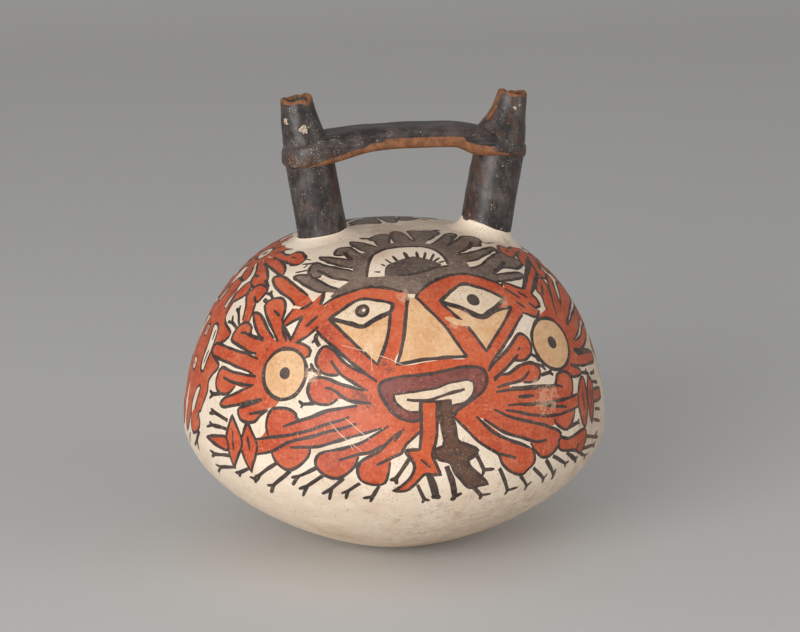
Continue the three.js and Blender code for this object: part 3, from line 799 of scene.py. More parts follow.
# Rays of the left roundel
def paintRays(art, turn):
    def at(*points, offset=19.5):
        return near(turn - offset, *points)

    art.fill("red", at((25, 47), (18.3, 46.5), (13, 47), (10, 45), (9, 41), (9.5, 38), (9.4, 32), (11, 28.5),
                       (13, 26), (15.8, 24), (19, 22), (22, 21), (27, 24), (27, 36)))
    # the short ray that runs down to the right of the roundel
    art.lobe(places((-47, 47.6), (-45.7, 47.6), (-43, 47.4), (-40.5, 46.9), (-38.2, 45.8), (-37.5, 44.6),
                    (-37.6, 42.6), (-38.8, 41.8)), places((-41, 43.5), (-45, 44.5)))
    # upper hooks and the leaf between them and the bar
    art.lobe(at((-1, 50.4), (-1.7, 54.3), (-3.3, 59), (-2.5, 59.3), (-1.3, 63), (-2, 65.6), (-5.8, 66.4),
                (-10, 64.8), (-11.7, 61.4), (-11.7, 59.8), (-8.3, 56.4), (-6.3, 53), (-5.4, 50.6)),
                at((-3, 47)))
    art.line(at((-6.7, 61), (-3.3, 59)))
    art.lobe(at((20, 49.3), (17.5, 52.3), (15, 54.8), (14.2, 58), (12, 61.4), (8.8, 63.3), (4.6, 62.3),
                (2.9, 60.2), (2.7, 58.5), (7, 54.8), (12.5, 50.6), (18.3, 46)), at((20, 44)))
    art.line(at((8.8, 57.7), (12.9, 56)))
    art.lobe(at((15.4, 47), (10.8, 50), (5, 54), (1.7, 55), (-1.3, 54.8), (-1.3, 54.8), (3.3, 50), (9.2, 46),
                (14.6, 42.5)), at((18, 44)))
    art.lobe(at((10.8, 46.4), (3.3, 46.4), (2, 49), (-1.3, 50.4), (-4.6, 49.3), (-6.3, 47.3), (-7, 46),
                (-7.3, 42.3), (-1.3, 41.2), (5, 40), (10, 40)), at((14, 43)))
    art.line(at((-3.3, 45.8), (0.8, 46.2), (10.8, 45.4)))
    # the long bar, then the lower hooks and leaf
    art.lobe(at((9.2, 38), (3.3, 39), (-5.4, 39), (-20, 38.5), (-20, 34), (-3.3, 33.5), (6.7, 32.7),
                (9.2, 31.8), offset=17.5), at((12, 34), offset=17.5))
    art.lobe(at((10.8, 31.6), (-3.3, 31), (-10.2, 31.2), (-11.7, 28), (-11.7, 24.8), (-9.6, 22.3),
                (-5.8, 21.6), (-2, 23), (0.8, 26.2), offset=17.5), at((6, 26.4), (10.8, 28.3), offset=17.5))
    art.line(at((-7.5, 27.7), (-1.3, 27.3), (5, 27.5), (10.8, 28.3), offset=17.5))
    art.lobe(at((10, 27.7), (5.8, 25.8), (0.8, 23), (-4.2, 20.4), (-6.3, 17.9), (-3.3, 17.3), (1.7, 18.7),
                (9.2, 21.4), (15.8, 24), offset=17.5), at((14, 27), offset=17.5))
    art.lobe(at((16.3, 24), (12, 21.4), (7, 19.3), (5, 17.7), (7, 14.8), (10.8, 14), (14.6, 15.2),
                (16.5, 17.7), (20, 20.2), offset=17.5), at((20, 24), offset=17.5))
    art.line(at((11.3, 17.3), (15.8, 19), (20, 20.2), offset=17.5))
    art.tick(at((-6.3, 48.5), (-10.8, 53)), *at((-13.8, 54), (-12, 55.6)))
    art.tick(at((-7, 47), (-11.7, 48.3)), *at((-15.4, 48), (-13.8, 50.8)))
    art.tick(at((5, 62), (2, 63.7)), *at((-0.8, 63.7), (0.8, 65.4)))
    art.line(at((2.9, 60), (0, 61.2)), 1.5)
    art.tick(at((-2, 66), (-5, 68)), *at((-7.5, 68), (-7, 69)))


# Rays of the right roundel, each with its root
def paintRightRays(art):
    art.add(places((42, 53), (48.4, 54.4), (52.2, 50.6), (55.6, 45.6), (56, 40), (54.4, 35.5), (51, 31),
                   (45, 27.8), (42, 30), (43, 41)), "red")
    rays = (
        (((56.5, 57.2), (61, 61.4), (66.9, 64.6), (71, 64.6), (70.3, 62.3), (66.6, 60.3), (62.3, 57),
          (59.3, 52.8), (54.3, 48.4)), ((52, 50),)),
        (((48.4, 53.8), (49.1, 57.1), (50.7, 60.1), (50.5, 63.1), (55, 65.5), (58.4, 66.7), (60.8, 65.8),
          (61, 63.4), (58.9, 60.3), (56.3, 57.3), (54, 54.3), (52.2, 50.5)), ((49, 51),)),
        (((60.5, 53.6), (66.2, 56.9), (72.8, 59.7), (79.8, 56.8), (82.6, 53.5), (78.6, 50.8), (72.9, 50.2),
          (64.9, 49.2), (57.8, 46.9), (55.5, 45.3)), ((54, 48.5),)),
        (((56.4, 45.4), (60, 46.3), (65.3, 47.3), (77.8, 47.4), (80.4, 46), (77.4, 44.9), (73.9, 44.2),
          (70.1, 42.9), (64.3, 41.4), (58.4, 39.7), (55.4, 39.3)), ((53, 42),)),
        (((55.8, 38.6), (61.8, 38.6), (67.1, 39.9), (72, 40.4), (74, 38.4), (70.8, 36.6), (65.4, 35.4),
          (59.2, 34.4), (53.4, 36)), ((52, 37.5),)),
        (((55, 33.6), (61, 32.3), (67.2, 30.3), (69.3, 28.3), (66.6, 26.6), (60, 27.8), (53.7, 29.3),
          (48, 31.5)),
         ((49, 33.5),)),
        (((48.4, 31), (51, 29.6), (52.9, 27.8), (53.4, 26.5), (52, 26), (48.3, 26.5), (44.8, 28.1)),
         ((45, 30),)),
    )
    for points, root in rays:
        art.lobe(places(*points), places(*root))
    art.line(places((56.2, 63.1), (51.6, 60.1)))
    art.line(places((52.8, 36.2), (55.1, 34), (58, 33.7), (66.5, 31)), 1.8)
    for tick in (((62.6, 65.4), (71, 66.4)), ((71, 66), (68.4, 67.3)), ((59.4, 23.9), (63.9, 23.2),
                                                                        (64.8, 24.3)),
                 ((59.6, 20.7), (65.3, 18.6)), ((58.2, 10.4), (63.3, 8.5)), ((56.1, 7.2), (62.2, 4.1))):
        art.line(places(*tick), 1.1)
    art.tick(places((53.4, 26.4), (56, 25.6)), *places((57.4, 26.9), (58.6, 24.3)))


def paintRoundel(art, turn, up, radius, pupil, tall):
    art.disc("buff", spot(turn, up), radius, tall, line=1.2)
    art.disc("black", spot(turn + 0.2, up + 0.3), pupil, line=0)


def paintEars(art):
    bar = near(-45, (-3.8, 61.4), (-8.4, 64), (-15.2, 66), (-20.6, 69), (-22, 71), (-17.9, 72.7),
               (-12.9, 71.6), (-7, 69.3), (-0.2, 66.5))
    art.lobe(bar, near(-45, (4, 62)))
    art.fill("red", near(-45, (-3.8, 60), (-1, 60.2), (3, 64), (5.3, 69), (6, 66), (8, 63), (12, 60),
                         (10.4, 54), (6.2, 49.8), (2.5, 47.5), (-2, 46.8), (-6, 53.2)))
    art.line(near(-45, (5.3, 69), (6.2, 66.4), (6.6, 63.2)), 1.3)
    art.line(near(-45, (3, 64), (1.4, 62), (-1, 60.2)))
    art.line(near(-45, (-3.8, 60), (-6, 53.2), (-2, 46.8)))
    art.outlined("cream", near(-45, (1.6, 57.5), (1.6, 57.5), (-5, 52.3), (-5, 52.3), (-0.2, 47.7),
                               (-0.2, 47.7)))
    art.line(near(-45, (7.5, 58.6), (4.4, 53.6)), 1.1)
    art.line(near(-45, (9.4, 54), (6.2, 49.8), (2.5, 47.5)))
    # the right ear, with its pale zigzag
    art.add(places((43.6, 65.2), (51.2, 69.3), (59.7, 72), (74.7, 73.4), (82, 72.6), (86, 69), (68.2, 69),
                   (59.1, 67.4), (50.3, 64.3), (46.1, 62.2), (46.4, 60), (46.2, 56.9), (43, 56.5),
                   (43.6, 55.2), (41.5, 52.9), (39.8, 53.3), (37.5, 54.9), (35.2, 56.1), (33, 59), (33.4, 66),
                   (35.3, 70), (38.2, 68.6), (40.7, 66.7)), "red")
    art.add(places((47, 62.3), (49.3, 62.7), (50, 59.5), (48.4, 55.8), (46.5, 55.6), (43.9, 55.2),
                   (43.2, 56.2), (46.6, 56.6), (46.8, 60)), "cream")
    strokes = (
        (1, (33.6, 68.6), (35.3, 70), (38.2, 68.6), (40.7, 66.7), (43.4, 65.2)),
        (1.7, (43.4, 65.2), (51.2, 69.4), (59.7, 72.1), (74.7, 73.5), (82, 72.6)),
        (1.5, (84, 69), (68.2, 69), (59.1, 67.4), (50.3, 64.3), (46.1, 62.2), (46.5, 60), (46.3, 57)),
        (1, (46.4, 56.7), (43.2, 56.4), (42.2, 57.4), (41.1, 59.2)),
        (1, (43.4, 55.4), (43.9, 54.9), (41.5, 52.9), (39.8, 53.3), (37.5, 54.9), (35.2, 56.1)),
        (0.9, (39.4, 64.8), (42.2, 61.1)), (0.9, (34.2, 67.5), (38.3, 62)), (0.9, (35.3, 61), (38, 57.5)),
    )
    for width, *points in strokes:
        art.line(places(*points), width)


# Ticks below and beside the figure, as (stem start, stem end, toes), with the stem's width
def paintTicks(art):
    pairs = (
        ((-8, 6.6), (-11.5, -1.2)), ((-6, -3.7), (-3.9, -10.9)), ((8.2, -5.5), (12.2, -11.6), (15, -11.2)),
        ((9.5, 6.6), (11.7, 0), (14.6, 0)), ((16, 0), (20.3, -11.2), (23.5, -10.5)),
        ((23.2, -4.8), (26.7, -10.9), (27.9, -9)), ((27, -2.6), (32.4, -9), (33.3, -7)),
        ((31.4, -0.5), (36.5, -9), (36.3, -6)), ((34, 0), (40.2, -5)), ((39.8, -0.5), (44.7, -4.8),
                                                                        (46.4, -7)),
        ((48.6, -1.6), (56.5, -3.4), (58.5, -5)), ((47.6, -3.4), (51.6, -6.2)),
        ((50, 2.7), (56, 0), (59.2, 1.3), (60, -1.2)), ((41.2, 9), (45.7, 9.3), (47, 10.6), (47, 8.8)),
        ((33.6, 31.3), (37.3, 31.3)),
        ((31.4, 40), (33.6, 38.4)), ((32.6, 35.6), (35, 34.5)),
        ((-32, 1.6), (-37.2, -2.6), (-39.7, -4), (-39.7, -7.3)),
        ((-30.3, -1), (-35.2, -6.6), (-38, -8.7), (-37.5, -12.3)),
        ((-25, -1.6), (-28.6, -6.6), (-31.5, -9.8), (-29.8, -12.6)),
        ((-20.7, -3.4), (-24, -7), (-26, -8.7), (-25, -11.6)),
        ((-15.8, -4.4), (-17.7, -9.4), (-20.4, -10.5), (-18.5, -12.3)),
        ((-44, 1), (-49.8, -5), (-52, -7), (-52, -8.7)), ((-39.7, -1), (-46, -8.7), (-48.5, -9.8),
                                                          (-48.3, -13.7)),
        ((-62, 12.7), (-68.3, 13.8), (-70.8, 14.6), (-71.3, 12.6)),
        ((-62.2, 9.5), (-68.8, 8.8), (-70.6, 9.5), (-71.8, 7.2)),
        ((-60.4, -0.5), (-67.3, -2), (-69.8, -1.2), (-69.3, -4)),
        ((-58.5, -4.4), (-66, -7.3), (-68.8, -7.3), (-69.6, -11.2)),
        ((-53.5, -3.7), (-57.5, -6.6), (-59.7, -7.6), (-58.5, -9)),
        ((-50, -5.5), (-52, -7.6), (-54, -7.4), (-52.7, -10)),
        ((-67, 21.6), (-70.8, 20.2), (-73, 21), (-72.3, 18)), ((-76, 4), (-77.5, 0), (-80.4, -3.4),
                                                               (-77.7, -4.4)),
        ((-35, 46.6), (-36.7, 49), (-37.7, 47.6)), ((-33, 36), (-35.5, 37.7), (-37.2, 37.4), (-36.7, 40)),
        ((-33.8, 25.2), (-37.2, 24.5), (-37.7, 23)),
    )
    for start, end, *toes in pairs:
        art.tick(places(start, end), *places(*toes))
    art.tick(places((-3, 0), (-1.8, -5), (-1, -9.6)), *places((-2, -10.6), (0.4, -11)), width=1.9)
    art.tick(places((1.6, 3), (3.4, -5), (4.4, -10.6)), *places((6.2, -9)), width=1.8)


# Long thin scratches across the left cheek and the left bundle
def paintScratches(art):
    for points in (((-28.1, 47.9), (-18, 45.2), (-9.4, 41.1)), ((-28.7, 18.4), (-24.5, 13), (-20.2, 8.7)),
                   ((-25, 20.9), (-21, 16.4), (-17.6, 12.9)), ((-27, 16), (-24, 12.4), (-22.6, 9)),
                   ((-19.4, 50), (-18.8, 45), (-18.2, 38.3))):
        art.line(places(*points), 0.16, slip="ivory")


# The creature between the figures: a frontal mask with nubs above it, and a small roundel in hooked rays over it
def paintCreature(art, turn):
    def at(side, *points):
        return places(*[(turn + side * right, up) for right, up in points])

    edge = ((0, 62), (6, 60), (10, 56), (10.3, 48.8), (12.1, 47.2), (18.3, 44.4), (17.2, 41.1), (13.6, 38.6),
            (10.2, 38.2), (10.5, 34.6), (17.2, 32.3), (18.5, 30.1), (15.1, 24.6), (15.8, 20), (13.5, 11.3),
            (8, 10), (0, 12))
    for side in (1, -1):
        art.add(at(side, *edge), "red")
        art.line(at(side, *edge[3:8]))
        art.line(at(side, *edge[9:15]))
        art.lobe(at(side, (8.5, 50), (7.4, 57), (7.6, 61), (9, 64.3), (11.2, 66.1), (13.6, 64.7),
                    (14.2, 59.9), (11.3, 56.8), (8.9, 54.6), (10.3, 48.8)), at(side, (9, 47)))
        art.outlined("cream", at(side, (5.8, 58.6), (6.6, 55.4), (6.4, 51.4), (5, 51.2), (4.6, 55.6)), 0.7)
        # the slots beside and below the mouth
        art.outlined("cream", at(side, (5.8, 44.7), (9, 43.9), (10.7, 39.2), (10.8, 34.3), (10.3, 30.1),
                                 (10, 26.4), (7.9, 26.1), (6.8, 28.9), (6.7, 34.6), (6, 39.4), (4.6, 43.1)))
        art.line(at(side, (8, 42.6), (8.8, 38.6)), 0.9)
        art.line(at(side, (9, 34.4), (8.5, 29)), 0.9)
        art.outlined("cream", at(side, (10.8, 19.9), (8.4, 19.4), (6.3, 12.6), (6.7, 8), (8.5, 8.1),
                                 (9.7, 13.9)), 0.9)
        # hooks under them
        art.lobe(at(side, (13.5, 12), (12.4, 10.4), (13.9, 7.1), (12.8, 3.9), (9.3, 1.5), (7.4, 3.9),
                    (6.8, 7.6)),
                 at(side, (9, 11)))
        art.line(at(side, (11.5, 8.2), (12.7, 11.8)))
        art.lobe(at(side, (6.3, 12), (5.6, 5), (3.4, 0.6), (1.4, 3), (1, 8)), at(side, (2, 12)))
        art.line(at(side, (13.2, 4.1), (11.7, -0.8)), 0.8)
        art.line(at(side, (6.6, 0.8), (4, -4.7)), 0.8)
    art.lobe(at(1, (-3.6, 52), (-3, 57), (-4.4, 60.6), (-3.2, 63.4), (0, 64), (3.2, 63.4), (4.4, 60.6),
                (3, 57), (3.6, 52)), at(1, (0, 48)))
    art.outlined("cream", at(1, (-1.4, 40), (-1, 42.2), (1, 42.2), (1.4, 40), (1, 37.8), (-1, 37.8)), 0.8)
    art.line(at(1, (0, 41.4), (0, 38.6)), 0.8)
    art.outlined("cream", at(1, (-1.7, 26.3), (-1.2, 28.7), (1.2, 28.7), (1.7, 26.3), (1.2, 23.9),
                             (-1.2, 23.9)), 0.8)
    art.disc("black", spot(turn, 26.3), 0.8, line=0)
    art.fill("cream", at(1, (-0.6, 8), (-0.8, 14), (0, 18.6), (0.8, 14), (0.6, 8)))
    # the roundel over it and its rays, which are narrower at the left
    middle = turn - 7
    art.disc("red", spot(middle, 77), 7.5, line=0)
    rays = (
        (((1.9, 81), (4, 84), (6.9, 87.8), (13.5, 88.8), (16.8, 87.1), (13.9, 84.8), (12, 82.2), (9.1, 80)),
         (3, 78)),
        (((9.1, 80), (12.7, 82.3), (22, 83), (23.3, 85.8), (28.4, 86.4), (34.8, 84.3), (36.2, 81.1),
          (33.5, 79.2), (26, 79), (18.7, 79), (14, 78.6)), (6, 78)),
        (((13.3, 78.4), (19, 79), (26.9, 78), (31.9, 75.2), (32.4, 72.8), (24.6, 73.9), (17.1, 74.5),
          (11.4, 74.9)),
         (6, 76)),
        (((6.2, 73), (12.9, 70.6), (15.5, 68.5), (17.5, 65.8), (22.3, 64.1), (26.3, 64.7), (28.1, 66.9),
          (25.6, 70.2), (19.7, 73.1), (12.6, 74.6)), (6, 75)),
        (((1.2, 71), (2.5, 67.8), (6.1, 64.5), (11.5, 64.1), (12.4, 67), (7.3, 70.8)), (4, 73)),
    )
    for side in (1, -0.75):
        for points, root in rays:
            art.lobe(places(*[(middle + side * right, up) for right, up in points]),
                     places((middle + side * root[0], root[1])))
        for slit in (((29.4, 82.9), (25.8, 82.3)), ((15.5, 68.5), (19.7, 68.8))):
            art.line(places(*[(middle + side * right, up) for right, up in slit]))
    art.disc("cream", spot(middle, 77), 4)
    art.disc("black", spot(middle, 77), 1.3, line=0)


paintHeaddress(figure)
paintCreature(figure, -90)
paintRays(figure, -44.5)
paintRightRays(figure)
paintMask(figure)
paintLobes(figure)
paintLozenges(figure)
paintEars(figure)
paintMouth(figure)
paintRoundel(figure, -44.5, 34.7, 9.4, 2.3, 1.02)
paintRoundel(figure, 42.6, 41.5, 11, 2.5, 0.93)
paintTicks(figure)
paintScratches(figure)

# The figure stands at the front and again at the back, where its parts wrap round the chart's end
painting = Painting()
for shift in (-180, 0, 180):
    painting.copyFrom(figure, shift * beltDegree)
print("painting laid out:", len(painting.faces), "shapes")


# The chart cut into triangles along every outline of the painting
def chartTriangles(side, painting, holes):
    halfway = 180 * beltDegree
    points = list(painting.points)
    faces = list(painting.faces)
    edges = []
    rowCount = round((side.top - side.bottom) / body["rowSpacing"])
    for row in range(rowCount + 1):
        up = side.bottom + (side.top - side.bottom) * row / rowCount
        if abs(up) < 2:
            up = 0
        radius = side.at(up)[0]
        columns = max(12, 4 * round(radius * 2 * pi / body["columnSpacing"] / 4))
        shift = 0.5 * (row % 2)
        points += [Vector((halfway * (2 * (column + shift) / columns - 1), up)) for column in range(columns)]
        points += [Vector((halfway, up))] * (shift == 0)
    corners = [(-halfway, side.bottom), (halfway, side.bottom), (halfway, side.top), (-halfway, side.top)]
    first = len(points)
    points += [Vector(corner) for corner in corners]
    edges += [(first, first + 1), (first + 1, first + 2), (first + 2, first + 3), (first + 3, first)]
    first = len(points)
    points += [Vector((-halfway, 0)), Vector((halfway, 0))]
    edges.append((first, first + 1))
    rings = []
    for ring in holes:
        first = len(points)
        points += [Vector(point) for point in ring]
        rings.append(list(range(first, first + len(ring))))
    flat, _, triangles, comesFrom, _, sources = delaunay_2d_cdt(points, edges, faces + rings, 0, 1e-6, True)
    newIndex = {old: new for new, olds in enumerate(comesFrom) for old in olds}
    return flat, triangles, sources, [[newIndex[index] for index in ring] for ring in rings]


# Where a spout's bore passes through a shell, as a ring of chart places
def boreRing(side, spout, count=28):
    ring = []
    for step in range(count):
        turn = 2 * pi * step / count
        start = spout["placing"] @ Vector((spouts["bore"] * cos(turn), spouts["bore"] * sin(turn), 0))
        along = spout["placing"].to_3x3() @ Vector((0, 0, 1))
        low, high = -3 * body["wall"], 3 * body["wall"]
        for _ in range(40):
            middle = (low + high) / 2
            point = start + along * middle
            if point.z > domeHeight(side, hypot(point.x, point.y)):
                high = middle
            else:
                low = middle
        up = domeLength(side, hypot(point.x, point.y))
        ring.append(spot(degrees(atan2(point.x, -point.y)), up))
    return ring


# Length up a shell's dome at a radius, and the height there
def domeLength(side, radius):
    low, high = 0, side.top
    for _ in range(40):
        middle = (low + high) / 2
        if side.at(middle)[0] > radius:
            low = middle
        else:
            high = middle
    return (low + high) / 2


def domeHeight(side, radius):
    return side.at(domeLength(side, radius))[1]


# Spouts: each leans outwards, and its tip tapers and drifts further out
spouts = {
    "spacing": 64.6,  # between the axes where they meet the dome
    "shift": 3.8,  # of the pair from the body's axis
    "lean": 10,
    "tubeLength": 33.2,
    "rootRadius": 10.1,
    "tubes": {"left": (9.6, 9.4, 0.45), "right": (10.1, 9.9, 0)},  # radii at the foot and top, and a shift inwards
    "bore": 5.6,
}


def makeSpout(name, side):
    reach = side * spouts["spacing"] / 2 + spouts["shift"]
    root = Matrix.Translation((reach, 0, domeHeight(outside, abs(reach))))
    lean = Matrix.Rotation(radians(side * spouts["lean"]), 4, "Y")
    return {"name": name, "side": side, "placing": root @ lean}


leftSpout = makeSpout("left", -1)
rightSpout = makeSpout("right", 1)


# Makes a mesh object of metres from points in millimetres
def meshOf(name, points, faces, slots, slotOf=None):
    mesh = bpy.data.meshes.new(name)
    mesh.from_pydata([tuple(point * mm) for point in points], [], faces)
    for slot in slots:
        mesh.materials.append(materials[slot])
    if slotOf:
        mesh.polygons.foreach_set("material_index", slotOf)
    mesh.polygons.foreach_set("use_smooth", [True] * len(faces))
    mesh.update()
    made = bpy.data.objects.new(name, mesh)
    bpy.context.collection.objects.link(made)
    return made


# Two rings of points, each in order of angle, joined by triangles
def stitched(points, outer, inner):
    def angle(index):
        return atan2(points[index].y, points[index].x)

    outer, inner = sorted(outer, key=angle), sorted(inner, key=angle)
    faces = []
    i = j = 0
    while i < len(outer) or j < len(inner):
        nextOuter = angle(outer[i + 1]) if i + 1 < len(outer) else angle(outer[0]) + 2 * pi
        nextInner = angle(inner[j + 1]) if j + 1 < len(inner) else angle(inner[0]) + 2 * pi
        here, there = outer[i % len(outer)], inner[j % len(inner)]
        if j >= len(inner) or (i < len(outer) and nextOuter < nextInner):
            faces.append((here, outer[(i + 1) % len(outer)], there))
            i += 1
        else:
            faces.append((here, inner[(j + 1) % len(inner)], there))
            j += 1
    return faces


# One shell surface: its points, its faces above and below the widest line with their slips, and each point's
# place in the baked picture's disc
def shellSurface(side, painting, holes, waver, ground):
    flat, triangles, sources, rings = chartTriangles(side, painting, holes)
    holesFrom = len(painting.faces)
    halfway = 180 * beltDegree
    points, normals, charted, keyOf, where = [], [], [], {}, []
    for x, up in flat:
        radius = side.at(up)[0]
        around = x if abs(x + halfway) > 1e-4 else halfway
        key = (round(around, 3), round(up, 3)) if radius > 0.02 else ("pole", up > 0)
        if key not in keyOf:
            keyOf[key] = len(points)
            points.append(surfacePoint(side, x, up, waver))
            normals.append(surfaceNormal(side, x, up, waver))
            turn = radians(x / beltDegree)
            reach = (side.top - up) / side.top if up > 0 else (up - side.bottom) / -side.bottom
            charted.append(Vector((sin(turn), -cos(turn))) * reach)
        where.append(keyOf[key])
    parts = {"upper": [], "lower": []}
    for triangle, source in zip(triangles, sources):
        corners = [flat[index] for index in triangle]
        middle = sum((Vector(corner) for corner in corners), Vector((0, 0))) / 3
        if abs(middle.x) > halfway or any(index >= holesFrom for index in source):
            continue
        face = tuple(where[index] for index in triangle)
        if len(set(face)) < 3:
            continue
        slip = painting.slips[max(source)] if source else ground
        parts["upper" if middle.y > 0 else "lower"].append((face, slip))
    return points, normals, parts, [[where[index] for index in ring] for ring in rings], charted


# Places of a face's corners in the baked picture: within a disc, or in a ring where a hole's edge is laid flat
def bakedPlace(centre, size, charted):
    return [(centre[0] + size * place.x, centre[1] + size * place.y) for place in charted]


def ringPlace(centre, corners, middle, within):
    turns = [atan2(corner.y - middle.y, corner.x - middle.x) for corner in corners]
    sizes = [0.04 if inner else 0.06 for inner in within]
    return [(centre[0] + size * cos(turn), centre[1] + size * sin(turn)) for turn, size in zip(turns, sizes)]


def makeBody(painting):
    boresOut = [boreRing(outside, spout) for spout in (leftSpout, rightSpout)]
    boresIn = [boreRing(inside, spout) for spout in (leftSpout, rightSpout)]
    skin = shellSurface(outside, painting, boresOut, body["waver"], "cream")
    lining = shellSurface(inside, Painting(), boresIn, 0, "clay")
    for part, node, slot in (("upper", "upper_dome", "painted_slip"), ("lower", "lower_bowl", "cream_slip")):
        points = skin[0] + lining[0]
        shift = len(skin[0])
        faces = [face for face, _ in skin[2][part]]
        slotNames = [slip for _, slip in skin[2][part]]
        inner = [tuple(index + shift for index in face[::-1]) for face, _ in lining[2][part]]
        faces += inner
        slotNames += ["clay"] * len(inner)
        outerRim = beltRing(skin, part)
        innerRim = [index + shift for index in beltRing(lining, part)]
        extra = stitched(points, outerRim, innerRim)
        pictured = [bakedPlace((0.5, 0.5), 0.49, [skin[4][index] for index in face])
                    for face in faces[:-len(inner)]]
        pictured += [bakedPlace((0.07, 0.07), 0.06, [lining[4][index - shift] for index in face])
                     for face in inner]
        pictured += [ringPlace((0.93, 0.07), [points[index] for index in face], Vector((0, 0, 0)),
                               [index >= shift for index in face]) for face in extra]
        if part == "upper":
            for outerRing, innerRing, corner in zip(skin[3], lining[3], ((0.07, 0.93), (0.93, 0.93))):
                count = len(outerRing)
                middle = sum((points[index] for index in outerRing), Vector((0, 0, 0))) / count
                walls = []
                for step in range(count):
                    after = (step + 1) % count
                    walls.append((outerRing[step], outerRing[after], innerRing[after] + shift))
                    walls.append((outerRing[step], innerRing[after] + shift, innerRing[step] + shift))
                pictured += [ringPlace(corner, [points[index] for index in face], middle,
                                       [index >= shift for index in face]) for face in walls]
                extra += walls
        faces += extra
        slotNames += ["clay"] * len(extra)
        names = sorted(set(slotNames))
        used = sorted({index for face in faces for index in face})
        renumber = {old: new for new, old in enumerate(used)}
        faces = [tuple(renumber[index] for index in face) for face in faces]
        normals = skin[1] + [-normal for normal in lining[1]]
        bottle = meshOf(f"painted_{part}", [points[index] for index in used], faces, names,
                        [names.index(name) for name in slotNames])
        layer = bottle.data.uv_layers.new(name="OFBake")
        layer.data.foreach_set("uv", [value for corners in pictured for place in corners for value in place])
        bottle.data.normals_split_custom_set_from_vertices([tuple(normals[index]) for index in used])
        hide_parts(node)
        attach(bottle, "root")
        print(part, "body:", len(faces), "triangles")


# The points of a surface on the widest line
def beltRing(surface, part):
    points, _, parts, *_ = surface
    corners = {index for face, _ in parts[part] for index in face}
    return [index for index in corners if abs(points[index].z - body["widest"]) < 1e-3]


materials = {name: slipFinish(name) for name in slips}
materials["clay"] = clayFinish()
materials["spout"] = spoutFinish("spoutSlip", (1, 1, 5))
materials["strap"] = spoutFinish("strapSlip", (7, 1.2, 1))
print("slips mixed")

placeCamera()
makeBody(painting)
print("body made")


# Turned pieces of the spouts, made by one Geometry Nodes tree from an outline curve
def turnedTree():
    tree = bpy.data.node_groups.new("turnedPiece", "GeometryNodeTree")
    face = tree.interface
    face.new_socket("Geometry", in_out="OUTPUT", socket_type="NodeSocketGeometry")
    sockets = {}
    for name, kind, value in (("Outline", "NodeSocketObject", None), ("Around", "NodeSocketInt", 96),
                              ("Along", "NodeSocketInt", 80), ("Unevenness", "NodeSocketFloat", 0.0002),
                              ("Lump Size", "NodeSocketFloat", 0.006), ("Seed", "NodeSocketFloat", 1.0),
                              ("Slip", "NodeSocketMaterial", None)):
        sockets[name] = face.new_socket(name, in_out="INPUT", socket_type=kind)
        if value is not None:
            sockets[name].default_value = value

    def node(kind, settings=None, **values):
        made = tree.nodes.new(kind)
        for key, value in (settings or {}).items():
            setattr(made, key, value)
        for key, value in values.items():
            target = made.inputs[int(key[1:])] if key[0] == "i" and key[1:].isdigit() else made.inputs[key]
            if isinstance(value, bpy.types.NodeSocket):
                tree.links.new(value, target)
            else:
                target.default_value = value
        return made

    source = tree.nodes.new("NodeGroupInput").outputs
    grid = node("GeometryNodeMeshGrid", i0=1.0, i1=1.0, i2=source["Around"], i3=source["Along"])
    position = node("GeometryNodeInputPosition").outputs[0]
    parts = node("ShaderNodeSeparateXYZ", Vector=position).outputs
    alongShare = node("ShaderNodeMath", {"operation": "ADD"}, i0=parts["Y"], i1=0.5).outputs[0]
    turn = node("ShaderNodeMath", {"operation": "MULTIPLY"}, i0=parts["X"], i1=2 * pi).outputs[0]
    outline = node("GeometryNodeObjectInfo", {"transform_space": "ORIGINAL"}, Object=source["Outline"])
    sample = node("GeometryNodeSampleCurve", {"use_all_curves": True}, Curves=outline.outputs["Geometry"],
                  Factor=alongShare)
    profile = node("ShaderNodeVectorRotate", {"rotation_type": "Z_AXIS"}, Vector=sample.outputs["Position"],
                   Angle=turn).outputs[0]
    scaled = node("ShaderNodeVectorMath", {"operation": "SCALE"}, i0=profile)
    lump = node("ShaderNodeMath", {"operation": "DIVIDE"}, i0=1.0, i1=source["Lump Size"]).outputs[0]
    tree.links.new(lump, scaled.inputs["Scale"])
    lumps = node("ShaderNodeTexNoise", {"noise_dimensions": "4D"}, Vector=scaled.outputs[0], W=source["Seed"],
                 Scale=1.0, Detail=3.0)
    centred = node("ShaderNodeVectorMath", {"operation": "SUBTRACT"}, i0=lumps.outputs["Color"],
                   i1=(0.5, 0.5, 0.5)).outputs[0]
    sway = node("ShaderNodeVectorMath", {"operation": "SCALE"}, i0=centred)
    double = node("ShaderNodeMath", {"operation": "MULTIPLY"}, i0=source["Unevenness"], i1=2.0).outputs[0]
    tree.links.new(double, sway.inputs["Scale"])
    moved = node("ShaderNodeVectorMath", {"operation": "ADD"}, i0=profile, i1=sway.outputs[0]).outputs[0]
    placed = node("GeometryNodeSetPosition", Geometry=grid.outputs["Mesh"], Position=moved)
    merged = node("GeometryNodeMergeByDistance", Geometry=placed.outputs[0], Distance=1e-6)
    smoothed = node("GeometryNodeSetShadeSmooth", Geometry=merged.outputs[0])
    realized = node("GeometryNodeRealizeInstances", Geometry=smoothed.outputs[0])
    finished = node("GeometryNodeSetMaterial", Geometry=realized.outputs[0], Material=source["Slip"])
    target = tree.nodes.new("NodeGroupOutput")
    tree.links.new(finished.outputs[0], target.inputs[0])
    return tree, sockets


turnedNodes, turnedSockets = turnedTree()


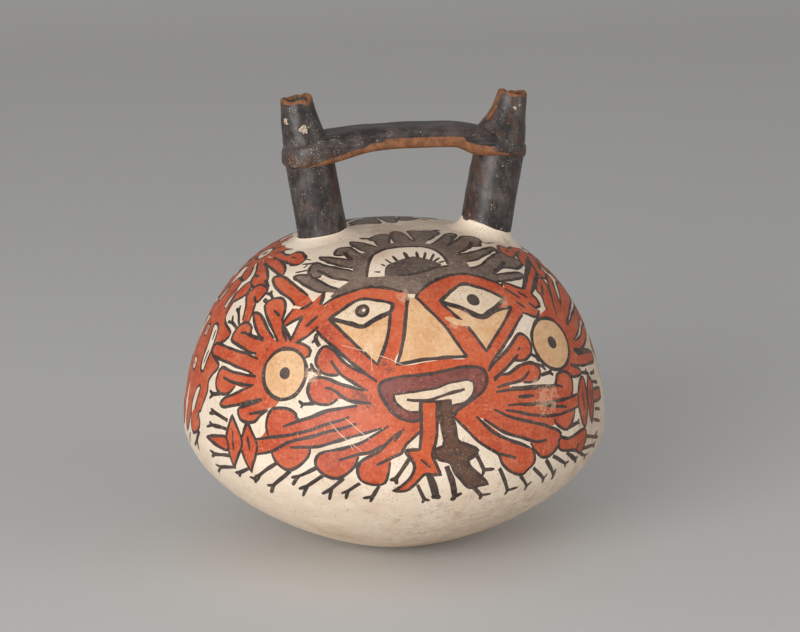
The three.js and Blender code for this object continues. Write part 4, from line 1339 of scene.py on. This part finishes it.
# A closed outline of (radius, height) points turned about the axis and set in a spout's place
def turnedPiece(name, outline, slip, spout, inputs, shape=None):
    curve = bpy.data.curves.new(name + "Outline", "CURVE")
    curve.dimensions = "3D"
    spline = curve.splines.new("POLY")
    spline.points.add(len(outline) - 1)
    for point, (radius, height) in zip(spline.points, outline):
        point.co = (radius * mm, 0, height * mm, 1)
    spline.use_cyclic_u = True
    curveObject = bpy.data.objects.new(name + "Outline", curve)
    bpy.context.collection.objects.link(curveObject)
    holder = bpy.data.objects.new(name, bpy.data.meshes.new(name))
    bpy.context.collection.objects.link(holder)
    modifier = holder.modifiers.new("turned", "NODES")
    modifier.node_group = turnedNodes
    values = {"Outline": curveObject, "Slip": materials[slip], **inputs}
    for key, value in values.items():
        modifier[turnedSockets[key].identifier] = value
    evaluated = holder.evaluated_get(bpy.context.evaluated_depsgraph_get())
    mesh = bpy.data.meshes.new_from_object(evaluated)
    bpy.data.objects.remove(holder)
    bpy.data.objects.remove(curveObject)
    mesh.name = name
    if shape:
        shape(mesh)
    mesh.transform(Matrix.Scale(mm, 4) @ spout["placing"] @ Matrix.Scale(1 / mm, 4))
    made = bpy.data.objects.new(name, mesh)
    bpy.context.collection.objects.link(made)
    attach(made, "root")
    return made


# A value read off a few (place, value) pairs, with its corners rounded over a length
def eased(pairs, place, rounding=3):
    total = 0
    for step in range(-3, 4):
        at = place + rounding * step / 3
        index = min(max(bisect_right([pair[0] for pair in pairs], at), 1), len(pairs) - 1)
        (start, low), (end, high) = pairs[index - 1], pairs[index]
        share = min(max((at - start) / (end - start), 0), 1)
        total += low + (high - low) * share
    return total / 7


# A vertex value between 0 and 1 for each of a mesh's named layers, read at points in millimetres
def setLayer(mesh, name, value):
    layer = mesh.attributes.new(name, "FLOAT", "POINT")
    layer.data.foreach_set("value", [min(max(value(vertex.co / mm), 0), 1) for vertex in mesh.vertices])


def rise(value, low, high):
    share = min(max((value - low) / (high - low), 0), 1)
    return share * share * (3 - 2 * share)


def patch(point, centre, radius):
    ragged = 0.45 * noise.noise(point / 1.1) + 0.3 * noise.noise(point / 0.45)
    return 1 - rise((point - Vector(centre)).length / radius + ragged, 0.75, 1.0)


def makeTube(spout):
    low, high = -4, spouts["tubeLength"]
    root, top, inwards = spouts["tubes"][spout["name"]]
    bore = spouts["bore"]
    outline = [(bore, low), (root, low), (root, 0), ((root + top) / 2, high / 2), (top, high), (bore, high)]
    inputs = {"Around": 120, "Along": 150, "Unevenness": 0.35 * mm, "Lump Size": 9 * mm,
              "Seed": 3.0 + spout["side"]}

    # bare clay under the strap, and brown wear down the side that faces it
    def worn(point):
        inner = -spout["side"] * point.x / max(hypot(point.x, point.y), 1)
        return rise(point.z + 3 * inner + noise.noise(point / 2), 32, 35) * rise(inner, 0, 0.4)

    def rubbed(point):
        inner = -spout["side"] * point.x / max(hypot(point.x, point.y), 1)
        return 0.45 * rise(inner, 0.1, 0.9)

    def shape(mesh):
        for vertex in mesh.vertices:
            vertex.co.x -= spout["side"] * inwards * mm
        setLayer(mesh, "worn", worn)
        setLayer(mesh, "rubbed", rubbed)

    made = turnedPiece(f"{spout['name']}_tube", outline, "spout", spout, inputs, shape)
    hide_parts(f"{spout['name']}_spout_tube")


# Tips. Their sides are (height up the spout, reach away from the strap, reach towards it), the breaks of their
# mouths (turn, height, width) and their crusts (x, y, height, radius).
tips = {
    "left": {
        "sides": ((33.5, 8.5, 9.4), (38, 8.2, 8.8), (41, 8.1, 7.6), (47, 7.6, 6.5), (54.6, 6.3, 5.7)),
        "breaks": ((0.3, 0.4, 0.5), (3.0, 0.7, 0.7), (4.4, -0.4, 0.5), (5.6, -1.1, 0.35)),
        "bore": 3.7,
        "lump": 5.0,
        "crusts": ((-5.6, -3.5, 47.1, 1.6), (-0.8, -7, 43.2, 1.8), (-6.4, -0.6, 45, 1.2),
                   (-6.6, -1.5, 39.6, 1)),
    },
    "right": {
        "sides": ((33.5, 9.3, 12.6), (38, 9.2, 11.4), (42, 8.8, 9), (45.4, 8.2, 7.2), (49.2, 7.6, 5.4),
                  (56.1, 6.8, 4.4)),
        "breaks": ((3.4, 0.3, 0.6), (0.2, 1.0, 0.6), (1.6, -0.6, 0.5), (5.0, -0.3, 0.5)),
        "bore": 3.3,
        "lump": 9.0,
        "crusts": ((1.5, -6.6, 50.6, 0.9), (3.6, -6, 52, 0.7)),
    },
}


def makeTip(spout):
    tip = tips[spout["name"]]
    side = spout["side"]
    low = tip["sides"][0][0]
    high = tip["sides"][-1][0]
    halves = [(up, (away + towards) / 2) for up, away, towards in tip["sides"]]
    shifts = [(up, side * (away - towards) / 2) for up, away, towards in tip["sides"]]
    bore = tip["bore"]
    mouth = halves[-1][1]
    outline = [(spouts["bore"], low)] + [(half, up) for up, half in halves[:-1]]
    outline += [(mouth + 0.1, high - 0.8), (mouth - 0.7, high), (bore + 0.9, high - 0.3), (bore, high - 1.6),
                (bore, high - 9), (spouts["bore"], low + 4)]
    inputs = {"Around": 128, "Along": 200, "Unevenness": 0.35 * mm, "Lump Size": 5 * mm, "Seed": tip["lump"]}

    # how much higher the broken mouth stands at an angle
    def lifted(around):
        lift = 0.35 * noise.noise(Vector((3 * cos(around), 3 * sin(around), tip["lump"])))
        for turn, height, width in tip["breaks"]:
            off = (around - turn + pi) % (2 * pi) - pi
            lift += height * exp(-(off / width) ** 2)
        return lift

    def shape(mesh):
        for vertex in mesh.vertices:
            point = vertex.co / mm
            point.z += rise(point.z, high - 5, high - 0.5) * lifted(atan2(point.y, point.x))
            point.x += eased(shifts, point.z)
            vertex.co = point * mm

        # bare clay on the broken mouth, and down the right tip on its side towards the strap
        def worn(point):
            around = atan2(point.y, point.x - eased(shifts, point.z)) % (2 * pi)
            ragged = noise.noise(point / 1.6) + 0.5 * noise.noise(point / 0.6)
            edge = high - 1.1 + 0.8 * lifted(around) + 0.5 * ragged
            if side < 0:
                edge -= 1.6 * exp(-((around - 5.2) / 0.28) ** 2)
                return rise(point.z, edge - 0.25, edge + 0.25)
            off = (around - 3.3 + pi) % (2 * pi) - pi
            strip = (1 - rise(abs(off) + 0.1 * ragged, 0.24, 0.36)) * rise(point.z + ragged, 43.5, 45)
            return max(rise(point.z, edge - 0.25, edge + 0.25), strip)

        setLayer(mesh, "worn", worn)
        setLayer(mesh, "rubbed", lambda point: 0.3 if side > 0 else 0)
        setLayer(mesh, "crust", lambda point: max(patch(point, part[:3], part[3]) for part in tip["crusts"]))

    made = turnedPiece(f"{spout['name']}_tip", outline, "spout", spout, inputs, shape)
    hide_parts(f"{spout['name']}_spout_tip")


# Rolls of cream clay in the corner between each tube and the dome
rolls = {
    "reach": 6.3,  # out over the dome
    "rise": {"left": 1.8, "right": 4.6},  # up the tube
    "belly": 0.9,  # how far the hollow between them is filled
    "inset": 1.4,
    "sink": 0.35,
    "wave": 0.12,
}


def makeRoll(spout):
    count = 120
    radius = spouts["rootRadius"]
    points, faces = [], []
    height = rolls["rise"][spout["name"]]
    axis = spout["placing"].to_3x3() @ Vector((0, 0, 1))
    rounds = 14
    for step in range(count):
        turn = 2 * pi * step / count
        start = spout["placing"] @ Vector((radius * cos(turn), radius * sin(turn), 0))
        low, high = -12, 12
        for _ in range(30):
            middle = (low + high) / 2
            point = start + axis * middle
            above = point.z > domeHeight(outside, hypot(point.x, point.y))
            low, high = (low, middle) if above else (middle, high)
        corner = start + axis * low
        away = Vector((corner.x - (spout["placing"].translation.x + axis.x * low), corner.y, 0)).normalized()
        wave = noise.noise(Vector((cos(turn), sin(turn), spout["side"] * 4)) * 1.6)
        outer = corner + away * rolls["reach"] * (1 + rolls["wave"] * wave)
        outer.z = domeHeight(outside, hypot(outer.x, outer.y)) - rolls["sink"]
        top = corner + axis * height * (1 + rolls["wave"] * wave) - away * 0.1
        ring = []
        for part in range(rounds + 1):
            share = part / rounds
            ring.append(top * (1 - share) ** 2 + (corner + axis * rolls["belly"]) * 2 * share * (1 - share)
                        + outer * share ** 2)
        inner = corner - away * rolls["inset"]
        ring += [outer - Vector((0, 0, 0.8)), inner - axis * 0.6, inner + axis * (height - 0.6)]
        points += ring
    size = rounds + 4
    for step in range(count):
        after = (step + 1) % count
        for part in range(size):
            following = (part + 1) % size
            faces.append((step * size + part, step * size + following,
                          after * size + following, after * size + part))
    roll = meshOf(f"{spout['name']}_roll", points, faces, ["cream"])
    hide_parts(f"{spout['name']}_root_roll")
    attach(roll, "root")


# The strap bridge wraps round both spouts. Its heights are (place along X, height) pairs.
strap = {
    "halfWidth": 9.5,
    "wrapRadius": 10.4,
    "spoutAt": (-33.5, 42),
    "under": ((-46, 150.4), (-36, 150.4), (-31, 151.2), (-21, 153.4), (-12, 156), (0, 157.2), (10, 157.2),
              (22, 156.8), (25.5, 156.6), (28.5, 153.8), (39, 152.4), (53, 151)),
    "over": ((-46, 157.4), (-40, 159.8), (-34, 161.9), (-28, 163.7), (-12, 165.4), (8, 165.9), (25, 165.4),
             (34, 164), (42, 161.3), (48, 158.8), (53, 157)),
    "corner": 4.0,  # how square its section is: 2 is an oval
    "bared": ((-37, 151.4), (-33.4, 153), (-22.6, 156.4), (-12.2, 159.2), (-4, 161.6), (24.8, 161.9),
              (26.4, 159.4),
              (42.8, 156.4), (44, 155.6)),  # the top of the bare clay along its front
}


def strapHalf(x):
    left, right = strap["spoutAt"]
    radius = strap["wrapRadius"]
    if x < left or x > right:
        return sqrt(max(radius ** 2 - (x - (left if x < left else right)) ** 2, 0))
    nearest = min(x - left, right - x)
    return radius + (strap["halfWidth"] - radius) * rise(nearest, 2, 16)


def makeStrap():
    left, right = strap["spoutAt"]
    start, end = left - strap["wrapRadius"] + 0.02, right + strap["wrapRadius"] - 0.02
    sections, around = 220, 80
    points, faces = [], []
    for section in range(sections + 1):
        share = section / sections
        spread = share - 0.09 * sin(2 * pi * share)
        x = start + (end - start) * spread
        half = strapHalf(x)
        low, high = eased(strap["under"], x), eased(strap["over"], x)
        flat = min(1, half / (0.62 * strap["wrapRadius"])) ** 0.6
        middle, tall = (low + high) / 2, (high - low) / 2 * flat
        for step in range(around):
            turn = 2 * pi * step / around
            across, up = cos(turn), sin(turn)
            power = 2 / strap["corner"]
            y = half * (abs(across) ** power) * (1 if across > 0 else -1)
            z = middle + tall * (abs(up) ** power) * (1 if up > 0 else -1)
            point = Vector((x, y, z))
            swell = noise.noise_vector(Vector((x / 14, y / 9, z / 9)))
            points.append(point + 0.3 * min(1, half / 5) * swell)
    for section in range(sections):
        for step in range(around):
            after = (step + 1) % around
            first, second = section * around, (section + 1) * around
            faces.append((first + step, second + step, second + after, first + after))
    faces.append(tuple(range(around)))
    faces.append(tuple(range(sections * around, (sections + 1) * around))[::-1])
    blank = meshOf("strapBlank", points, faces, ["strap"])
    cutters = []
    for spout in (leftSpout, rightSpout):
        rings = []
        for height in (15, 60):
            for step in range(48):
                turn = 2 * pi * step / 48
                place = Vector((spouts["bore"] * cos(turn), spouts["bore"] * sin(turn), height))
                rings.append(spout["placing"] @ place)
        sides = [(step, (step + 1) % 48, (step + 1) % 48 + 48, step + 48) for step in range(48)]
        sides += [tuple(range(48))[::-1], tuple(range(48, 96))]
        cutter = meshOf("boreCutter", rings, sides, [])
        cutters.append(cutter)
        modifier = blank.modifiers.new("bore", "BOOLEAN")
        modifier.operation = "DIFFERENCE"
        modifier.object = cutter
    mesh = bpy.data.meshes.new_from_object(blank.evaluated_get(bpy.context.evaluated_depsgraph_get()))
    for spent in (blank, *cutters):
        bpy.data.objects.remove(spent)
    mesh.name = "strap_bridge"

    # bare clay along the front's lower edge and the underside
    def worn(point):
        low, high = eased(strap["under"], point.x), eased(strap["over"], point.x)
        under = low + 0.2 * (high - low)
        ragged = 0.5 * noise.noise(point / 3) + 0.25 * noise.noise(point / 0.8)
        edge = under + rise(-point.y, 5, 8.5) * (eased(strap["bared"], point.x, 1) - under)
        reach = rise(point.x, -37.5, -35.5) * (1 - rise(point.x, 43, 43.6))
        return (1 - rise(point.z + ragged, edge - 0.4, edge + 0.4)) * reach

    # a thin scatter of lime on the front of the left wrap
    def crust(point):
        return 0.38 * rise(-point.x, 16, 24) * rise(-point.y, 3, 6) * rise(noise.noise(point / 5), -0.4, 0.1)

    setLayer(mesh, "worn", worn)
    setLayer(mesh, "rubbed", lambda point: 0.6 * rise(-point.z, -158, -155))
    setLayer(mesh, "crust", crust)
    made = bpy.data.objects.new("strap_bridge", mesh)
    bpy.context.collection.objects.link(made)
    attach(made, "root")
    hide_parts("bridge_strap", "left_bridge_wrap", "right_bridge_wrap")


for spout in (leftSpout, rightSpout):
    makeTube(spout)
    makeTip(spout)
    makeRoll(spout)
makeStrap()
print("spouts, rolls and strap made")


# Studio: a pale floor that sweeps up behind, soft lamps and a dim even world
studio = {
    "floor": screen(206, 205, 203),
    "sweep": 900,  # radius of the curve up to the backdrop
    "front": -2.5,  # of the floor, and its back, half width and backdrop, in metres
    "back": 2.2,
    "halfWidth": 4,
    "backdrop": 2.2,
    "world": 0.42,
    "key": {"place": (-0.85, -1.05, 0.26), "size": (0.9, 1.0), "power": 20},
    "fill": {"place": (1.0, -0.8, 0.5), "size": (0.6, 0.9), "power": 2.5},
}


def makeStudio():
    back, radius, halfWidth = studio["back"], studio["sweep"] * mm, studio["halfWidth"]
    line = [(studio["front"], 0), (back - radius, 0)]
    line += [(back - radius + radius * sin(turn), radius - radius * cos(turn))
             for turn in [pi / 2 * step / 16 for step in range(1, 17)]]
    line.append((back, studio["backdrop"] + radius))
    points = [(x, y, z) for y, z in line for x in (-halfWidth, halfWidth)]
    faces = [(2 * index, 2 * index + 1, 2 * index + 3, 2 * index + 2) for index in range(len(line) - 1)]
    mesh = bpy.data.meshes.new("studioFloor")
    mesh.from_pydata(points, [], faces)
    mesh.polygons.foreach_set("use_smooth", [True] * len(faces))
    finish = Finish("studioPaper")
    mesh.materials.append(finish.finished(studio["floor"], 0.9))
    floor = bpy.data.objects.new("studioFloor", mesh)
    bpy.context.collection.objects.link(floor)
    world = bpy.data.worlds.new("studioWorld")
    world.use_nodes = True
    world.node_tree.nodes["Background"].inputs["Color"].default_value = (1, 1, 1, 1)
    world.node_tree.nodes["Background"].inputs["Strength"].default_value = studio["world"]
    bpy.context.scene.world = world


def softLamp(name):
    lamp = studio[name]
    data = bpy.data.lights.new(f"{name}Lamp", "AREA")
    data.shape = "RECTANGLE"
    data.size, data.size_y = lamp["size"]
    data.energy = lamp["power"]
    made = bpy.data.objects.new(f"{name}Lamp", data)
    made.location = lamp["place"]
    made.rotation_euler = (Vector((0, 0, 0.07)) - made.location).to_track_quat("-Z", "Y").to_euler()
    bpy.context.collection.objects.link(made)


makeStudio()
softLamp("key")
softLamp("fill")
bpy.context.scene.view_settings.view_transform = "Standard"
print("studio lit")
